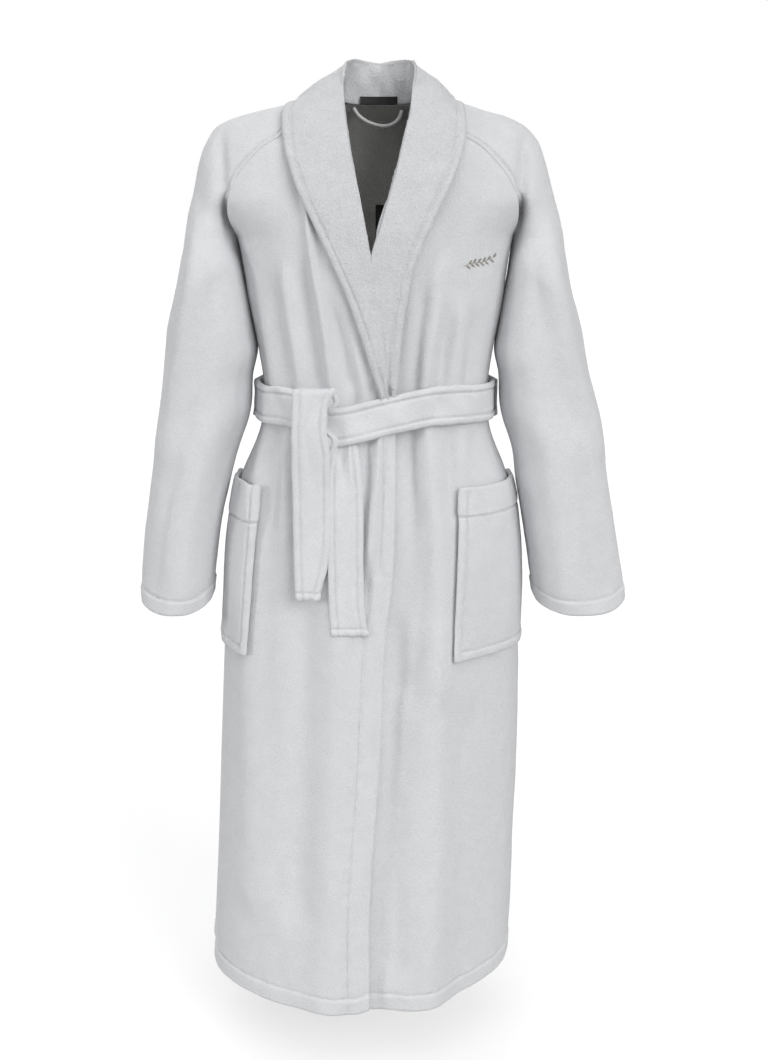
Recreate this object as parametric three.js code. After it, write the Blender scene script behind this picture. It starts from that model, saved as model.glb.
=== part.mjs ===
// A calf-length towelling bathrobe, worn and belted, as separate cloth pieces.
// Millimetres, +Z up. The robe faces -Y; +X is the wearer's left. The origin is the base of the
// neck, midway between the two shoulder seams. Every piece of cloth is a thin closed solid.

import * as THREE from "three";

// ---------- driving dimensions ----------
const CLOTH = 4.5; // one layer of towelling
const DOUBLE = 7.5; // two layers sewn together: collar, belt, bands, pocket fronts
const HEAD_GAP = 4.5; // open line along the raglan seams
const SEAM_GAP = 1.2; // open line between two pieces that are sewn edge to edge
const HEM_LEVEL = -1157; // hem height at the side seams
const FRONT_HEM_DROP = 22; // how much lower the hem hangs at centre front
const BACK_HEM_DROP = 8;
const UNDERARM_LEVEL = -166; // where sleeve, side seam and body meet
const NECK_SEAM_LEVEL = 3; // back neck seam
const FRONT_NECK_LEVEL = -8; // neck end of the front raglan seams
const LAP_STEP = 10; // the under front lies this much further in than the upper front
const BELT_WIDTH = 43;
const SQUARENESS = 2.3; // superellipse power of the body's plan outline
const CUFF_LEVEL = -634;
const SLEEVE_CUT = -178; // top of the swinging part of each sleeve
const HEAD_END = -158; // bottom of the fixed part of each sleeve
const BAND_WIDTH = 28; // turned band down each front edge
const BAND_TOP = -358; // the bands start behind the belt
const BAND_CUT_TOP = -290; // from here down the front panels narrow to make room for the bands
const BAND_CUT_EASE = 26;
const UNDER_BAND = 6; // thickness of the band that lies beneath the upper front
const FLAP_TOP = -660; // the free corner of the upper front starts here, on the front edge
const FLAP_HEM_X = -150; // and its fold meets the hem here
const FLAP_GAP = 1.6; // open line along that fold
const FLAP_CLOTH_DROP = 42; // the cloth of the corner starts this far below its band
const LAP_OVERHANG = 22; // the step between the fronts starts this far past the upper edge
const LAP_EASE = 40; // and takes this width
const HEM_CURVE_TOP = -700; // the rows of the panels start to follow the hem's curve here
const CUFF_DIP = 14; // how much lower the front of a cuff hangs
const CUFF_DIP_TOP = -478;

// height, centre x, half width, front depth, back depth of the body cloth
const BODY_STATIONS = [
  [HEM_LEVEL, -21, 211, 178, 155],
  [-1000, -14, 208, 168, 150],
  [-850, -8, 206, 158, 144],
  [-650, -3, 199, 144, 132],
  [-560, -1, 192, 138, 126],
  [-480, 1, 178, 130, 118],
  [-415, 2, 153, 121, 106],
  [-362, 3, 148, 115, 98],
  [-310, 3, 154, 115, 100],
  [-250, 3, 165, 114, 104],
  [UNDERARM_LEVEL, 2, 178, 112, 108],
  [-150, 1, 190, 110, 108],
  [-135, 0, 207, 107, 108],
  [-116, 0, 226, 104, 108],
  [-70, -1, 220, 88, 106],
  [-44, -1, 209, 74, 103],
  [-26, -2, 192, 60, 98],
  [-15, -1, 165, 50, 93],
  [-9, 2, 138, 42, 88],
  [0, 5, 104, 28, 78],
  [6, 6, 84, 18, 70],
  [16, 8, 40, 8, 40],
];

// half width of the sleeve heads, where they stand wider than the body panels
const SHOULDER_STATIONS = [
  [-200, 249],
  [-165, 243],
  [-116, 232],
  [-70, 220],
  [-44, 209],
  [-26, 192],
  [-15, 165],
  [-9, 138],
  [0, 104],
  [6, 84],
];

// height, and distance of the raglan seams from the centre line
const RAGLAN_STATIONS = [
  [UNDERARM_LEVEL, 178],
  [-137, 182],
  [-101, 175],
  [-84, 165],
  [-70, 153],
  [-52, 134],
  [-40, 113],
  [-24, 92],
  [FRONT_NECK_LEVEL, 74],
  [NECK_SEAM_LEVEL, 66],
];

// height, and x of the front edge of each front panel; above the belt it hides under the collar
const UPPER_EDGE_STATIONS = [
  [-1180, -9],
  [-1003, -8],
  [-832, 5],
  [-697, 11],
  [-646, 15],
  [-584, 22],
  [-399, 25],
  [-340, 18],
  [-280, 6],
  [-192, -14],
  [-126, -28],
  [-75, -36],
  [FRONT_NECK_LEVEL, -46],
];
const LOWER_EDGE_STATIONS = [
  [-1180, -100],
  [-800, -88],
  [-480, -76],
  [-350, -66],
  [-280, -38],
  [-192, 10],
  [-145, 24],
  [-112, 34],
  [-38, 52],
  [FRONT_NECK_LEVEL, 58],
];

// height, outer x, inner x, middle y, half depth of a sleeve below the underarm
const RIGHT_SLEEVE_STATIONS = [
  [CUFF_LEVEL, -311, -220, -26, 70],
  [-560, -303, -215, -26, 72],
  [-485, -291, -201, -22, 75],
  [-390, -277, -167, -14, 79],
  [-285, -265, -171, -7, 83],
  [-220, -255, -178, -2, 86],
  [SLEEVE_CUT, -247, -184, 0, 87],
];
const LEFT_SLEEVE_STATIONS = [
  [CUFF_LEVEL, 336, 218, -26, 70],
  [-560, 321, 211, -26, 72],
  [-485, 308, 199, -22, 75],
  [-390, 292, 173, -14, 79],
  [-285, 268, 176, -7, 83],
  [-220, 254, 181, -2, 86],
  [SLEEVE_CUT, 245, 186, 0, 87],
];

// Collar halves, from centre back round the neck and down to the belt: the seam at the neck, the
// top of the roll, and the outer edge.
const RIGHT_COLLAR = {
  seam: [[8, 70, 7], [-28, 60, 8], [-46, 34, 10], [-50, 4, 10], [-44, -22, 4], [-36, -48, -20],
    [-26, -83, -74], [-15, -103, -130], [-3, -111, -192], [8, -115, -262], [16, -117, -350]],
  roll: [[8, 78, 57], [-22, 66, 59], [-37, 38, 56], [-40, 8, 44], [-38, -24, 18], [-34, -58, -18],
    [-24, -92, -72], [-13, -112, -128], [-1, -120, -192], [10, -124, -262], [18, -126, -350]],
  edge: [[8, 118, -30], [-45, 114, -28], [-84, 100, -20], [-106, 56, 4], [-110, 8, 9], [-111, -42, -8],
    [-107, -80, -48], [-90, -108, -104], [-60, -119, -168], [-26, -124, -245], [7, -125, -350]],
};
const LEFT_COLLAR = {
  seam: [[8, 70, 7], [42, 60, 8], [60, 34, 10], [63, 4, 10], [56, -22, 4], [47, -47, -18],
    [36, -75, -62], [21, -95, -114], [8, -103, -150], [5, -112, -195], [13, -113, -262], [21, -115, -346]],
  roll: [[8, 78, 57], [36, 66, 59], [51, 38, 57], [53, 8, 47], [50, -24, 22], [45, -56, -14],
    [34, -84, -60], [19, -104, -112], [6, -112, -150], [3, -117, -195], [12, -118, -262], [20.5, -121, -346]],
  edge: [[8, 118, -30], [60, 114, -28], [98, 100, -20], [114, 56, 2], [116, 8, 8], [114, -42, -12],
    [110, -80, -52], [90, -109, -104], [72, -117, -142], [50, -122, -195], [36, -124, -262], [27, -124, -346]],
};

// ---------- small helpers ----------
const smooth = (t) => {
  const s = Math.min(1, Math.max(0, t));
  return s * s * (3 - 2 * s);
};
const mix = (a, b, t) => a + (b - a) * t;

// Value of a column of a station table at a height, on a smooth curve through the stations.
function at(stations, z, column = 1) {
  const rows = stations[0][0] < stations[stations.length - 1][0] ? stations : [...stations].reverse();
  if (z <= rows[0][0]) return rows[0][column];
  if (z >= rows[rows.length - 1][0]) return rows[rows.length - 1][column];
  const i = rows.findIndex((row) => row[0] > z) - 1;
  const slope = (k) => {
    const a = rows[Math.max(0, k - 1)];
    const b = rows[Math.min(rows.length - 1, k + 1)];
    return (b[column] - a[column]) / (b[0] - a[0]);
  };
  const [lo, hi] = [rows[i], rows[i + 1]];
  const span = hi[0] - lo[0];
  const t = (z - lo[0]) / span;
  const h = t * t * (3 - 2 * t);
  const m0 = slope(i) * span * (t * t * t - 2 * t * t + t);
  const m1 = slope(i + 1) * span * (t * t * t - t * t);
  return mix(lo[column], hi[column], h) + m0 + m1;
}

// Plan angle at which the body outline reaches a given x; front is negative, back positive.
function angleAt(z, x, side) {
  const share = Math.min(1, Math.max(-1, (x - at(BODY_STATIONS, z, 1)) / at(BODY_STATIONS, z, 2)));
  const cosine = Math.sign(share) * Math.abs(share) ** (SQUARENESS / 2);
  return side * Math.acos(Math.min(1, Math.max(-1, cosine)));
}

// Point of the body outline at a height and plan angle, `inset` mm inside the outer face.
function bodyPoint(z, angle, inset = 0, halfWidth = at(BODY_STATIONS, z, 2)) {
  const power = 2 / SQUARENESS;
  const [c, s] = [Math.cos(angle), Math.sin(angle)];
  const depth = at(BODY_STATIONS, z, s < 0 ? 3 : 4);
  return new THREE.Vector3(
    at(BODY_STATIONS, z, 1) + Math.sign(c) * Math.abs(c) ** power * (halfWidth - inset),
    Math.sign(s) * Math.abs(s) ** power * (depth - inset),
    z,
  );
}

// Heights from `top` to `bottom`, closer together near the top.
const level = (top, bottom, v, power = 1.3) => top + (bottom - top) * v ** power;

// A sheet of cloth as a closed solid. `face(u, v)` is its outer face, where u runs to the right and
// v runs down as seen from outside, and the other face lies `thickness` inside it. `around` joins
// u = 1 to u = 0, for a sleeve.
function clothSolid(face, thickness, columns, rows, around = false) {
  const wide = around ? columns : columns + 1;
  const outer = [];
  for (let j = 0; j <= rows; j++) {
    for (let i = 0; i < wide; i++) outer.push(face(i / columns, j / rows));
  }
  const pick = (i, j) => {
    const column = around ? (i + wide) % wide : Math.min(wide - 1, Math.max(0, i));
    return outer[Math.min(rows, Math.max(0, j)) * wide + column];
  };
  const positions = outer.flatMap((p) => p.toArray());
  for (let j = 0; j <= rows; j++) {
    for (let i = 0; i < wide; i++) {
      const alongU = pick(i + 1, j).clone().sub(pick(i - 1, j));
      const alongV = pick(i, j + 1).clone().sub(pick(i, j - 1));
      const inward = alongU.cross(alongV).normalize().multiplyScalar(thickness);
      positions.push(...inward.add(pick(i, j)).toArray());
    }
  }
  const index = [];
  const quad = (a, b, c, d) => index.push(a, b, c, a, c, d);
  const id = (i, j, side) => side * outer.length + j * wide + (around ? i % wide : i);
  for (let j = 0; j < rows; j++) {
    for (let i = 0; i < columns; i++) {
      quad(id(i, j, 0), id(i, j + 1, 0), id(i + 1, j + 1, 0), id(i + 1, j, 0));
      quad(id(i, j, 1), id(i + 1, j, 1), id(i + 1, j + 1, 1), id(i, j + 1, 1));
    }
  }
  for (let i = 0; i < columns; i++) {
    quad(id(i, 0, 0), id(i + 1, 0, 0), id(i + 1, 0, 1), id(i, 0, 1));
    quad(id(i, rows, 0), id(i, rows, 1), id(i + 1, rows, 1), id(i + 1, rows, 0));
  }
  for (let j = 0; j < (around ? 0 : rows); j++) {
    quad(id(0, j, 0), id(0, j, 1), id(0, j + 1, 1), id(0, j + 1, 0));
    quad(id(columns, j, 0), id(columns, j + 1, 0), id(columns, j + 1, 1), id(columns, j, 1));
  }
  const geometry = new THREE.BufferGeometry();
  geometry.setAttribute("position", new THREE.Float32BufferAttribute(positions, 3));
  geometry.setIndex(index);
  geometry.computeVertexNormals();
  return geometry;
}

// ---------- materials ----------
const towelling = new THREE.MeshStandardMaterial({ color: 0xe6e7ea, roughness: 0.95, metalness: 0 });
const pile = new THREE.MeshStandardMaterial({ color: 0xdedfe2, roughness: 1.0, metalness: 0 });
const cord = new THREE.MeshStandardMaterial({ color: 0xe9e9ea, roughness: 0.8, metalness: 0 });
const labelBlack = new THREE.MeshStandardMaterial({ color: 0x141315, roughness: 0.6, metalness: 0 });
const thread = new THREE.MeshStandardMaterial({ color: 0xb9b1a6, roughness: 0.5, metalness: 0 });

const robe = new THREE.Group();
function add(name, geometry, material) {
  const mesh = new THREE.Mesh(geometry, material);
  mesh.name = name;
  robe.add(mesh);
}

// ---------- body panels ----------
const TURN = 2 * Math.PI;

// Hem height at a plan angle: lowest at centre front.
function hemLevel(angle) {
  const s = Math.sin(angle);
  return HEM_LEVEL - (s < 0 ? FRONT_HEM_DROP : BACK_HEM_DROP) * Math.abs(s) ** 1.5;
}

// Height on a panel: level rows above, easing to the curve of the hem at the bottom.
function panelLevel(z, angle) {
  const share = smooth((HEM_CURVE_TOP - z) / (HEM_CURVE_TOP - HEM_LEVEL));
  return z + (hemLevel(angle) - HEM_LEVEL) * share;
}

// A body panel between two x or angle limits, each given as a function of height.
function panelFace(top, leftAngle, rightAngle, inset = () => 0) {
  return (u, v) => {
    const z = level(top, HEM_LEVEL, v);
    const angle = mix(leftAngle(z), rightAngle(z), u);
    return bodyPoint(z, angle, inset(z, angle)).setZ(panelLevel(z, angle));
  };
}

const upperEdge = (z) => at(UPPER_EDGE_STATIONS, z);
const lowerEdge = (z) => at(LOWER_EDGE_STATIONS, z);
const bandShare = (z) => smooth((BAND_CUT_TOP - z) / BAND_CUT_EASE);
const raglan = (z, side) => at(BODY_STATIONS, z, 1) + side * (at(RAGLAN_STATIONS, z) - SEAM_GAP);
const flapFold = (z) => {
  const down = (FLAP_TOP - z) / (FLAP_TOP - HEM_LEVEL);
  return mix(upperEdge(FLAP_TOP) - BAND_WIDTH, FLAP_HEM_X, down);
};

// Plan angle at which a panel ends: the raglan seam above the underarm, the side seam below it.
function seamAngle(z, side, back) {
  if (z > UNDERARM_LEVEL) return angleAt(z, raglan(z, side), back);
  return back * (side > 0 ? 0 : Math.PI);
}

// Side seams: a narrow open line between back and front.
const sideGap = (z) => SEAM_GAP / at(BODY_STATIONS, z, 2);

const backFace = panelFace(
  NECK_SEAM_LEVEL,
  (z) => seamAngle(z, 1, 1) + sideGap(z),
  (z) => seamAngle(z, -1, 1) - sideGap(z),
);
add("back_panel", clothSolid(backFace, CLOTH, 20, 20), towelling);

// the upper front: wearer's right, seen uppermost
function upperFrontLimit(z) {
  const edge = upperEdge(z) - bandShare(z) * (BAND_WIDTH + SEAM_GAP);
  return z > FLAP_TOP ? edge : Math.min(edge, flapFold(z));
}
const upperFrontFace = panelFace(
  FRONT_NECK_LEVEL,
  (z) => TURN + seamAngle(z, -1, -1),
  (z) => TURN + angleAt(z, upperFrontLimit(z), -1),
);
add("right_front_panel", clothSolid(upperFrontFace, CLOTH, 10, 22), towelling);

// A strip of a front between two x limits, from one height to another.
function stripFace(top, left, right, inset = () => 0) {
  return (u, v) => {
    const z = level(top, HEM_LEVEL, v, 1);
    const angle = angleAt(z, mix(left(z), right(z), u), -1);
    return bodyPoint(z, angle, inset(z, angle)).setZ(panelLevel(z, angle));
  };
}
const flapFace = stripFace(
  FLAP_TOP - FLAP_CLOTH_DROP,
  (z) => flapFold(z) + FLAP_GAP,
  (z) => upperEdge(z) - BAND_WIDTH - SEAM_GAP,
);
add("right_front_flap", clothSolid(flapFace, CLOTH, 4, 8), towelling);

const bandLeft = (z) => upperEdge(z) - BAND_WIDTH;
const upperBandFace = (u, v) => {
  const z = mix(BAND_TOP, FLAP_TOP + SEAM_GAP, v);
  return bodyPoint(z, angleAt(z, mix(bandLeft(z), upperEdge(z), u), -1));
};
add("right_front_band", clothSolid(upperBandFace, DOUBLE, 1, 8), towelling);
const cornerBandFace = stripFace(FLAP_TOP - SEAM_GAP, bandLeft, upperEdge);
add("right_flap_band", clothSolid(cornerBandFace, DOUBLE, 1, 8), towelling);

// the under front: wearer's left, stepped in where it passes beneath the upper one
function lapInset(z, angle) {
  const past = bodyPoint(z, angle).x - (upperEdge(z) + LAP_OVERHANG);
  return LAP_STEP * (1 - smooth(past / LAP_EASE));
}
const underFrontFace = panelFace(
  FRONT_NECK_LEVEL,
  (z) => angleAt(z, lowerEdge(z) + bandShare(z) * (BAND_WIDTH + 3 * SEAM_GAP), -1),
  (z) => seamAngle(z, 1, -1),
  lapInset,
);
add("left_front_panel", clothSolid(underFrontFace, CLOTH, 16, 22), towelling);
const underBandEnd = (z) => lowerEdge(z) + BAND_WIDTH;
const underBandFace = stripFace(BAND_TOP, lowerEdge, underBandEnd, () => LAP_STEP);
add("left_front_band", clothSolid(underBandFace, UNDER_BAND, 1, 10), towelling);

// ---------- sleeves ----------
// Fixed raglan head of a sleeve: level rows that start on the front seam, go round the outside of
// the arm and end on the back seam. Near a seam the cloth eases in to the body panel's own depth.
const SEAM_EASE = 0.3;
const HEAD_ROW_SPREAD = 1.15; // rows closer together near the neck
function sleeveHeadFace(side) {
  return (u, v) => {
    const z = mix(NECK_SEAM_LEVEL - 1, HEAD_END, v ** HEAD_ROW_SPREAD);
    const across = side < 0 ? 1 - u : u; // 0 at the front seam, 1 at the back seam
    const middle = at(BODY_STATIONS, z, 1);
    const seamReach = at(RAGLAN_STATIONS, z) + HEAD_GAP;
    const halfWidth = at(SHOULDER_STATIONS, z);
    const reach = Math.acos((seamReach / halfWidth) ** (SQUARENESS / 2));
    const onHead = (swing) => bodyPoint(z, side > 0 ? swing : Math.PI - swing, 0, halfWidth);
    const point = onHead(mix(-reach, reach, across));
    const end = across < 0.5 ? -1 : 1;
    const onPanel = bodyPoint(z, angleAt(z, middle + side * seamReach, end));
    const nearSeam = 1 - smooth(Math.min(across, 1 - across) / SEAM_EASE);
    point.y += (onPanel.y - onHead(end * reach).y) * nearSeam;
    return point;
  };
}
add("right_sleeve_head", clothSolid(sleeveHeadFace(-1), CLOTH, 14, 10), towelling);
add("left_sleeve_head", clothSolid(sleeveHeadFace(1), CLOTH, 14, 10), towelling);

// Swinging tube of a sleeve, from just under the arm to the cuff.
function sleeveFace(stations) {
  return (u, v) => {
    const z = mix(SLEEVE_CUT, CUFF_LEVEL, v);
    const angle = u * TURN;
    const [c, s] = [Math.cos(angle), Math.sin(angle)];
    const power = 2 / SQUARENESS;
    const [x1, x2] = [at(stations, z, 1), at(stations, z, 2)];
    const half = Math.abs(x1 - x2) / 2;
    const low = smooth((CUFF_DIP_TOP - z) / (CUFF_DIP_TOP - CUFF_LEVEL));
    const dip = CUFF_DIP * low * Math.max(0, -s);
    return new THREE.Vector3(
      (x1 + x2) / 2 + Math.sign(c) * Math.abs(c) ** power * half,
      at(stations, z, 3) + Math.sign(s) * Math.abs(s) ** power * at(stations, z, 4),
      z - dip,
    );
  };
}
add("right_sleeve", clothSolid(sleeveFace(RIGHT_SLEEVE_STATIONS), CLOTH, 18, 10, true), towelling);
add("left_sleeve", clothSolid(sleeveFace(LEFT_SLEEVE_STATIONS), CLOTH, 18, 10, true), towelling);

// ---------- collar ----------
const COLLAR_THICKNESS = 6;
const COLLAR_CLEARANCE = COLLAR_THICKNESS + 2; // outer face of the collar above the body cloth
const ROLL_RADIUS = 7; // of the collar's turned top
const CROWN = 2; // how far the collar's fall bows out
const CENTRE_SEAM = 0.004; // share of the collar's length left open at centre back

function curveThrough(points) {
  const vectors = points.map((p) => new THREE.Vector3(...p));
  return new THREE.CatmullRomCurve3(vectors, false, "centripetal");
}

// How far a point stands outside the body cloth, and the way out.
function standOff(p) {
  const value = (q) => {
    const across = Math.abs(q.x - at(BODY_STATIONS, q.z, 1)) / at(BODY_STATIONS, q.z, 2);
    const through = Math.abs(q.y) / at(BODY_STATIONS, q.z, q.y < 0 ? 3 : 4);
    return across ** SQUARENESS + through ** SQUARENESS - 1;
  };
  const slope = (axis) => {
    const step = new THREE.Vector3().setComponent(axis, 0.5);
    return value(p.clone().add(step)) - value(p.clone().sub(step));
  };
  const gradient = new THREE.Vector3(slope(0), slope(1), slope(2));
  return { distance: value(p) / gradient.length(), out: gradient.normalize() };
}

// A point moved out until it stands `clearance` off the body cloth.
function keptOff(point, clearance) {
  for (let pass = 0; pass < 4 && clearance > 0 && point.z < 12; pass++) {
    const { distance, out } = standOff(point);
    if (distance < clearance) point.addScaledVector(out, clearance - distance);
  }
  return point;
}

// Point of a collar half: `along` from centre back to the belt, `across` from neck seam to edge.
function collarPoint(lines, along, across) {
  const onLine = (line) => curveThrough(line).getPoint(along);
  const [seam, roll, edge] = [lines.seam, lines.roll, lines.edge].map(onLine);
  const rise = roll.clone().sub(seam).normalize();
  const fall = edge.clone().sub(roll);
  const out = fall.clone().addScaledVector(rise, -fall.dot(rise)).normalize();
  const inside = roll.clone().addScaledVector(rise, -ROLL_RADIUS);
  const outside = roll.clone().addScaledVector(out, ROLL_RADIUS).addScaledVector(rise, -CROWN);
  const crown = outside.clone().lerp(edge, 0.5).addScaledVector(rise, CROWN);
  const points = [seam, inside, roll, outside, crown, edge];
  const section = new THREE.CatmullRomCurve3(points, false, "centripetal");
  const turnedOver = smooth((across - 0.3) / 0.2); // 0 inside the neck, 1 on the fall
  return keptOff(section.getPoint(across), COLLAR_CLEARANCE * turnedOver);
}
const rightCollarFace = (u, v) => collarPoint(RIGHT_COLLAR, mix(CENTRE_SEAM, 1, v), 1 - u);
const leftCollarFace = (u, v) => collarPoint(LEFT_COLLAR, mix(CENTRE_SEAM, 1, v), u);
add("right_collar", clothSolid(rightCollarFace, COLLAR_THICKNESS, 10, 20), pile);
add("left_collar", clothSolid(leftCollarFace, COLLAR_THICKNESS, 10, 20), pile);

// ---------- pockets ----------
const POCKET_TOP = -478;
const POCKET_BOTTOM = -697;
const POCKET_BULGE = 15;
const RIGHT_POCKET_X = [-140, -158]; // front edge of each pocket, at its top and its bottom
const LEFT_POCKET_X = [109, 100];
const POCKET_SIDE_ANGLE = 0.03; // the pockets stop this far, in plan angle, before the side seams

// Patch pocket: sewn down at both sides and the bottom, standing open at the top.
function pocketFace(startAngle, endAngle) {
  return (u, v) => {
    const z = mix(POCKET_TOP, POCKET_BOTTOM, v);
    const angle = mix(startAngle(z), endAngle(z), u);
    const stand = 1 + CLOTH + POCKET_BULGE * Math.sin(Math.PI * u) ** 0.6 * (1 - v ** 3);
    return bodyPoint(z, angle, -stand);
  };
}
function pocketFront(z, [topX, bottomX]) {
  return angleAt(z, mix(topX, bottomX, (POCKET_TOP - z) / (POCKET_TOP - POCKET_BOTTOM)), -1);
}
const rightPocketFace = pocketFace(
  () => Math.PI - POCKET_SIDE_ANGLE,
  (z) => TURN + pocketFront(z, RIGHT_POCKET_X),
);
const leftPocketFace = pocketFace(
  (z) => pocketFront(z, LEFT_POCKET_X),
  () => POCKET_SIDE_ANGLE,
);
add("right_pocket", clothSolid(rightPocketFace, CLOTH, 8, 6), towelling);
add("left_pocket", clothSolid(leftPocketFace, CLOTH, 8, 6), towelling);

// ---------- belt ----------
const BELT_STAND = 10; // outer face of the belt above the body cloth
const BELT_THICKNESS = 7;
const BELT_LEVEL = -374; // middle of the belt at the sides and back
const WAIST_LEVEL = -370; // where the belt's length is set out

// Middle height of the belt round the waist, by x, at the front; level at the sides and back.
const BELT_FRONT_STATIONS = [
  [-150, -380],
  [-100, -375],
  [-52, -396],
  [20, -381],
  [75, -371],
  [155, -374],
];
function beltMiddle(angle) {
  const front = at(BELT_FRONT_STATIONS, bodyPoint(WAIST_LEVEL, angle).x);
  return mix(BELT_LEVEL, front, smooth(-Math.sin(angle) * 1.4));
}
const KNOT_LEFT = -96;
const KNOT_RIGHT = -58;
const KNOT_TOP = -350;
const KNOT_BOTTOM = -414;
const KNOT_THICKNESS = 15;
function beltFace(u, v) {
  const start = angleAt(WAIST_LEVEL, KNOT_RIGHT + 13, -1);
  const end = TURN + angleAt(WAIST_LEVEL, KNOT_LEFT - 5, -1);
  const angle = mix(start, end, u);
  const z = beltMiddle(angle) + BELT_WIDTH * (0.5 - v);
  return bodyPoint(z, angle, -BELT_STAND);
}
add("belt_waistband", clothSolid(beltFace, BELT_THICKNESS, 36, 1), towelling);

// Point in front of the skirt at an x and height, `stand` mm in front of the body cloth.
function inFront(x, z, stand) {
  return new THREE.Vector3(x, bodyPoint(z, angleAt(z, x, -1)).y - stand, z);
}

// The crossed part of the belt, behind the end that hangs over it.
function knotFace(u, v) {
  return inFront(mix(KNOT_LEFT, KNOT_RIGHT, u), mix(KNOT_TOP, KNOT_BOTTOM, v), KNOT_THICKNESS + 4);
}
add("belt_knot", clothSolid(knotFace, KNOT_THICKNESS, 3, 2), towelling);

// A hanging end of the belt: a flat strip in front of the skirt, `stand(v)` mm off it.
const OVER_TAIL = { left: -98, right: -58, top: -346, bottom: -612 };
const UNDER_TAIL = { left: -54, right: -13, top: -421, bottom: -659 };
function beltTailFace({ left, right, top, bottom }, stand) {
  return (u, v) => {
    const z = mix(top, bottom, v);
    return inFront(right, z, stand(v)).setX(mix(left, right, u));
  };
}
const overKnot = (v) => mix(29, 12, smooth((v - 0.27) * 2));
const overTailFace = beltTailFace(OVER_TAIL, overKnot);
const underTailFace = beltTailFace(UNDER_TAIL, () => 11);
add("right_belt_tail", clothSolid(overTailFace, BELT_THICKNESS, 1, 8), towelling);
add("left_belt_tail", clothSolid(underTailFace, BELT_THICKNESS, 1, 8), towelling);

// Belt carriers on the side seams: narrow straps that stand over the belt.
const CARRIER_WIDTH = 12;
const CARRIER_THICKNESS = 2.2;
const CARRIER_TOP = -343;
const CARRIER_BOTTOM = -411;
const CARRIER_SEWN = 3.4; // stand of a carrier's sewn ends, and below, of its middle
const CARRIER_OVER_BELT = BELT_STAND + 3.8;
const WAIST_HALF_WIDTH = 150;
function carrierFace(middle) {
  return (u, v) => {
    const z = mix(CARRIER_TOP, CARRIER_BOTTOM, v);
    const angle = middle + ((u - 0.5) * CARRIER_WIDTH) / WAIST_HALF_WIDTH;
    const stand = mix(CARRIER_SEWN, CARRIER_OVER_BELT, smooth(Math.sin(Math.PI * v) * 3));
    return bodyPoint(z, angle, -stand);
  };
}
add("right_belt_loop", clothSolid(carrierFace(Math.PI), CARRIER_THICKNESS, 1, 8), towelling);
add("left_belt_loop", clothSolid(carrierFace(0), CARRIER_THICKNESS, 1, 8), towelling);

// ---------- back neck: hanging loop and labels ----------
const LOOP_ROUTE = [
  [-26, 64, -3],
  [-20, 63, -13],
  [-6, 62, -22],
  [12, 61.5, -27],
  [24, 62, -22],
  [32, 63, -14],
  [35, 64, -6],
];
const LOOP_RADIUS = 2.6;
const loopPath = new THREE.CatmullRomCurve3(LOOP_ROUTE.map((p) => new THREE.Vector3(...p)));
const cordSection = new THREE.Shape().absellipse(0, 0, LOOP_RADIUS, LOOP_RADIUS, 0, TURN);
const alongLoop = { steps: 20, extrudePath: loopPath, curveSegments: 4 };
add("hanging_loop", new THREE.ExtrudeGeometry(cordSection, alongLoop), cord);

const LABEL_THICKNESS = 0.9;
const NECK_LABEL = { left: -17, right: 31, top: 11, bottom: 1.5, depth: 67, middle: 8 };
const BACK_LABEL = { left: 3, right: 52, top: -128, bottom: -214, gap: 1.6 };
const NECK_CURVE = 0.0077; // how fast the neck label curves forward, per mm squared

function neckLabelFace(u, v) {
  const x = mix(NECK_LABEL.left, NECK_LABEL.right, u);
  const y = NECK_LABEL.depth - NECK_CURVE * (x - NECK_LABEL.middle) ** 2;
  return new THREE.Vector3(x, y, mix(NECK_LABEL.top, NECK_LABEL.bottom, v));
}
function backLabelFace(u, v) {
  const z = mix(BACK_LABEL.top, BACK_LABEL.bottom, v);
  const x = mix(BACK_LABEL.right, BACK_LABEL.left, u);
  return bodyPoint(z, angleAt(z, x, 1), CLOTH + BACK_LABEL.gap);
}
add("neck_label", clothSolid(neckLabelFace, LABEL_THICKNESS, 8, 1), labelBlack);
add("back_label", clothSolid(backLabelFace, LABEL_THICKNESS, 6, 4), labelBlack);

// ---------- chest motif: a small plain sprig in raised thread ----------
const MOTIF = { left: 112, right: 156, top: -186, bottom: -204, stand: 3, thickness: 1 };
function motifFace(u, v) {
  const z = mix(MOTIF.top, MOTIF.bottom, v);
  return bodyPoint(z, angleAt(z, mix(MOTIF.left, MOTIF.right, u), -1), -MOTIF.stand);
}
add("chest_motif", clothSolid(motifFace, MOTIF.thickness, 4, 1), thread);

export default robe;
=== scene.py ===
import math

import bpy
import numpy as np
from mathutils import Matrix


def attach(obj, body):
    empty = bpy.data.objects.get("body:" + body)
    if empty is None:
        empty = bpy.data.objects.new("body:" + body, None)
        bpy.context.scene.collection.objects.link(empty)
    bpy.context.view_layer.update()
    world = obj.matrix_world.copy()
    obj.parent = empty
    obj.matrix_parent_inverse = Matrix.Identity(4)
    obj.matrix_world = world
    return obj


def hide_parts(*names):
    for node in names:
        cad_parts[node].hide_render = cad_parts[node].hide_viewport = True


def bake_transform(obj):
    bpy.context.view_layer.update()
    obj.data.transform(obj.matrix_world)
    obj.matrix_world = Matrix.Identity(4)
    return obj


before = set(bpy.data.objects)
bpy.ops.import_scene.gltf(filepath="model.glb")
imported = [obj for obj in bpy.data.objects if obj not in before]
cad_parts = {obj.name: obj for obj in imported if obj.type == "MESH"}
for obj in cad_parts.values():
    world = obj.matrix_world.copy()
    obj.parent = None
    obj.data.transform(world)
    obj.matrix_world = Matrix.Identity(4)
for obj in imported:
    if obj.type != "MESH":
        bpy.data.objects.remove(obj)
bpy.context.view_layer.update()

# ---- camera ----
# It stands at chest height, just under two metres in front of the robe, and looks a little down,
# so that the whole robe is in view and the hem is seen from above.
camera_data = bpy.data.cameras.new("camera")
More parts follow.
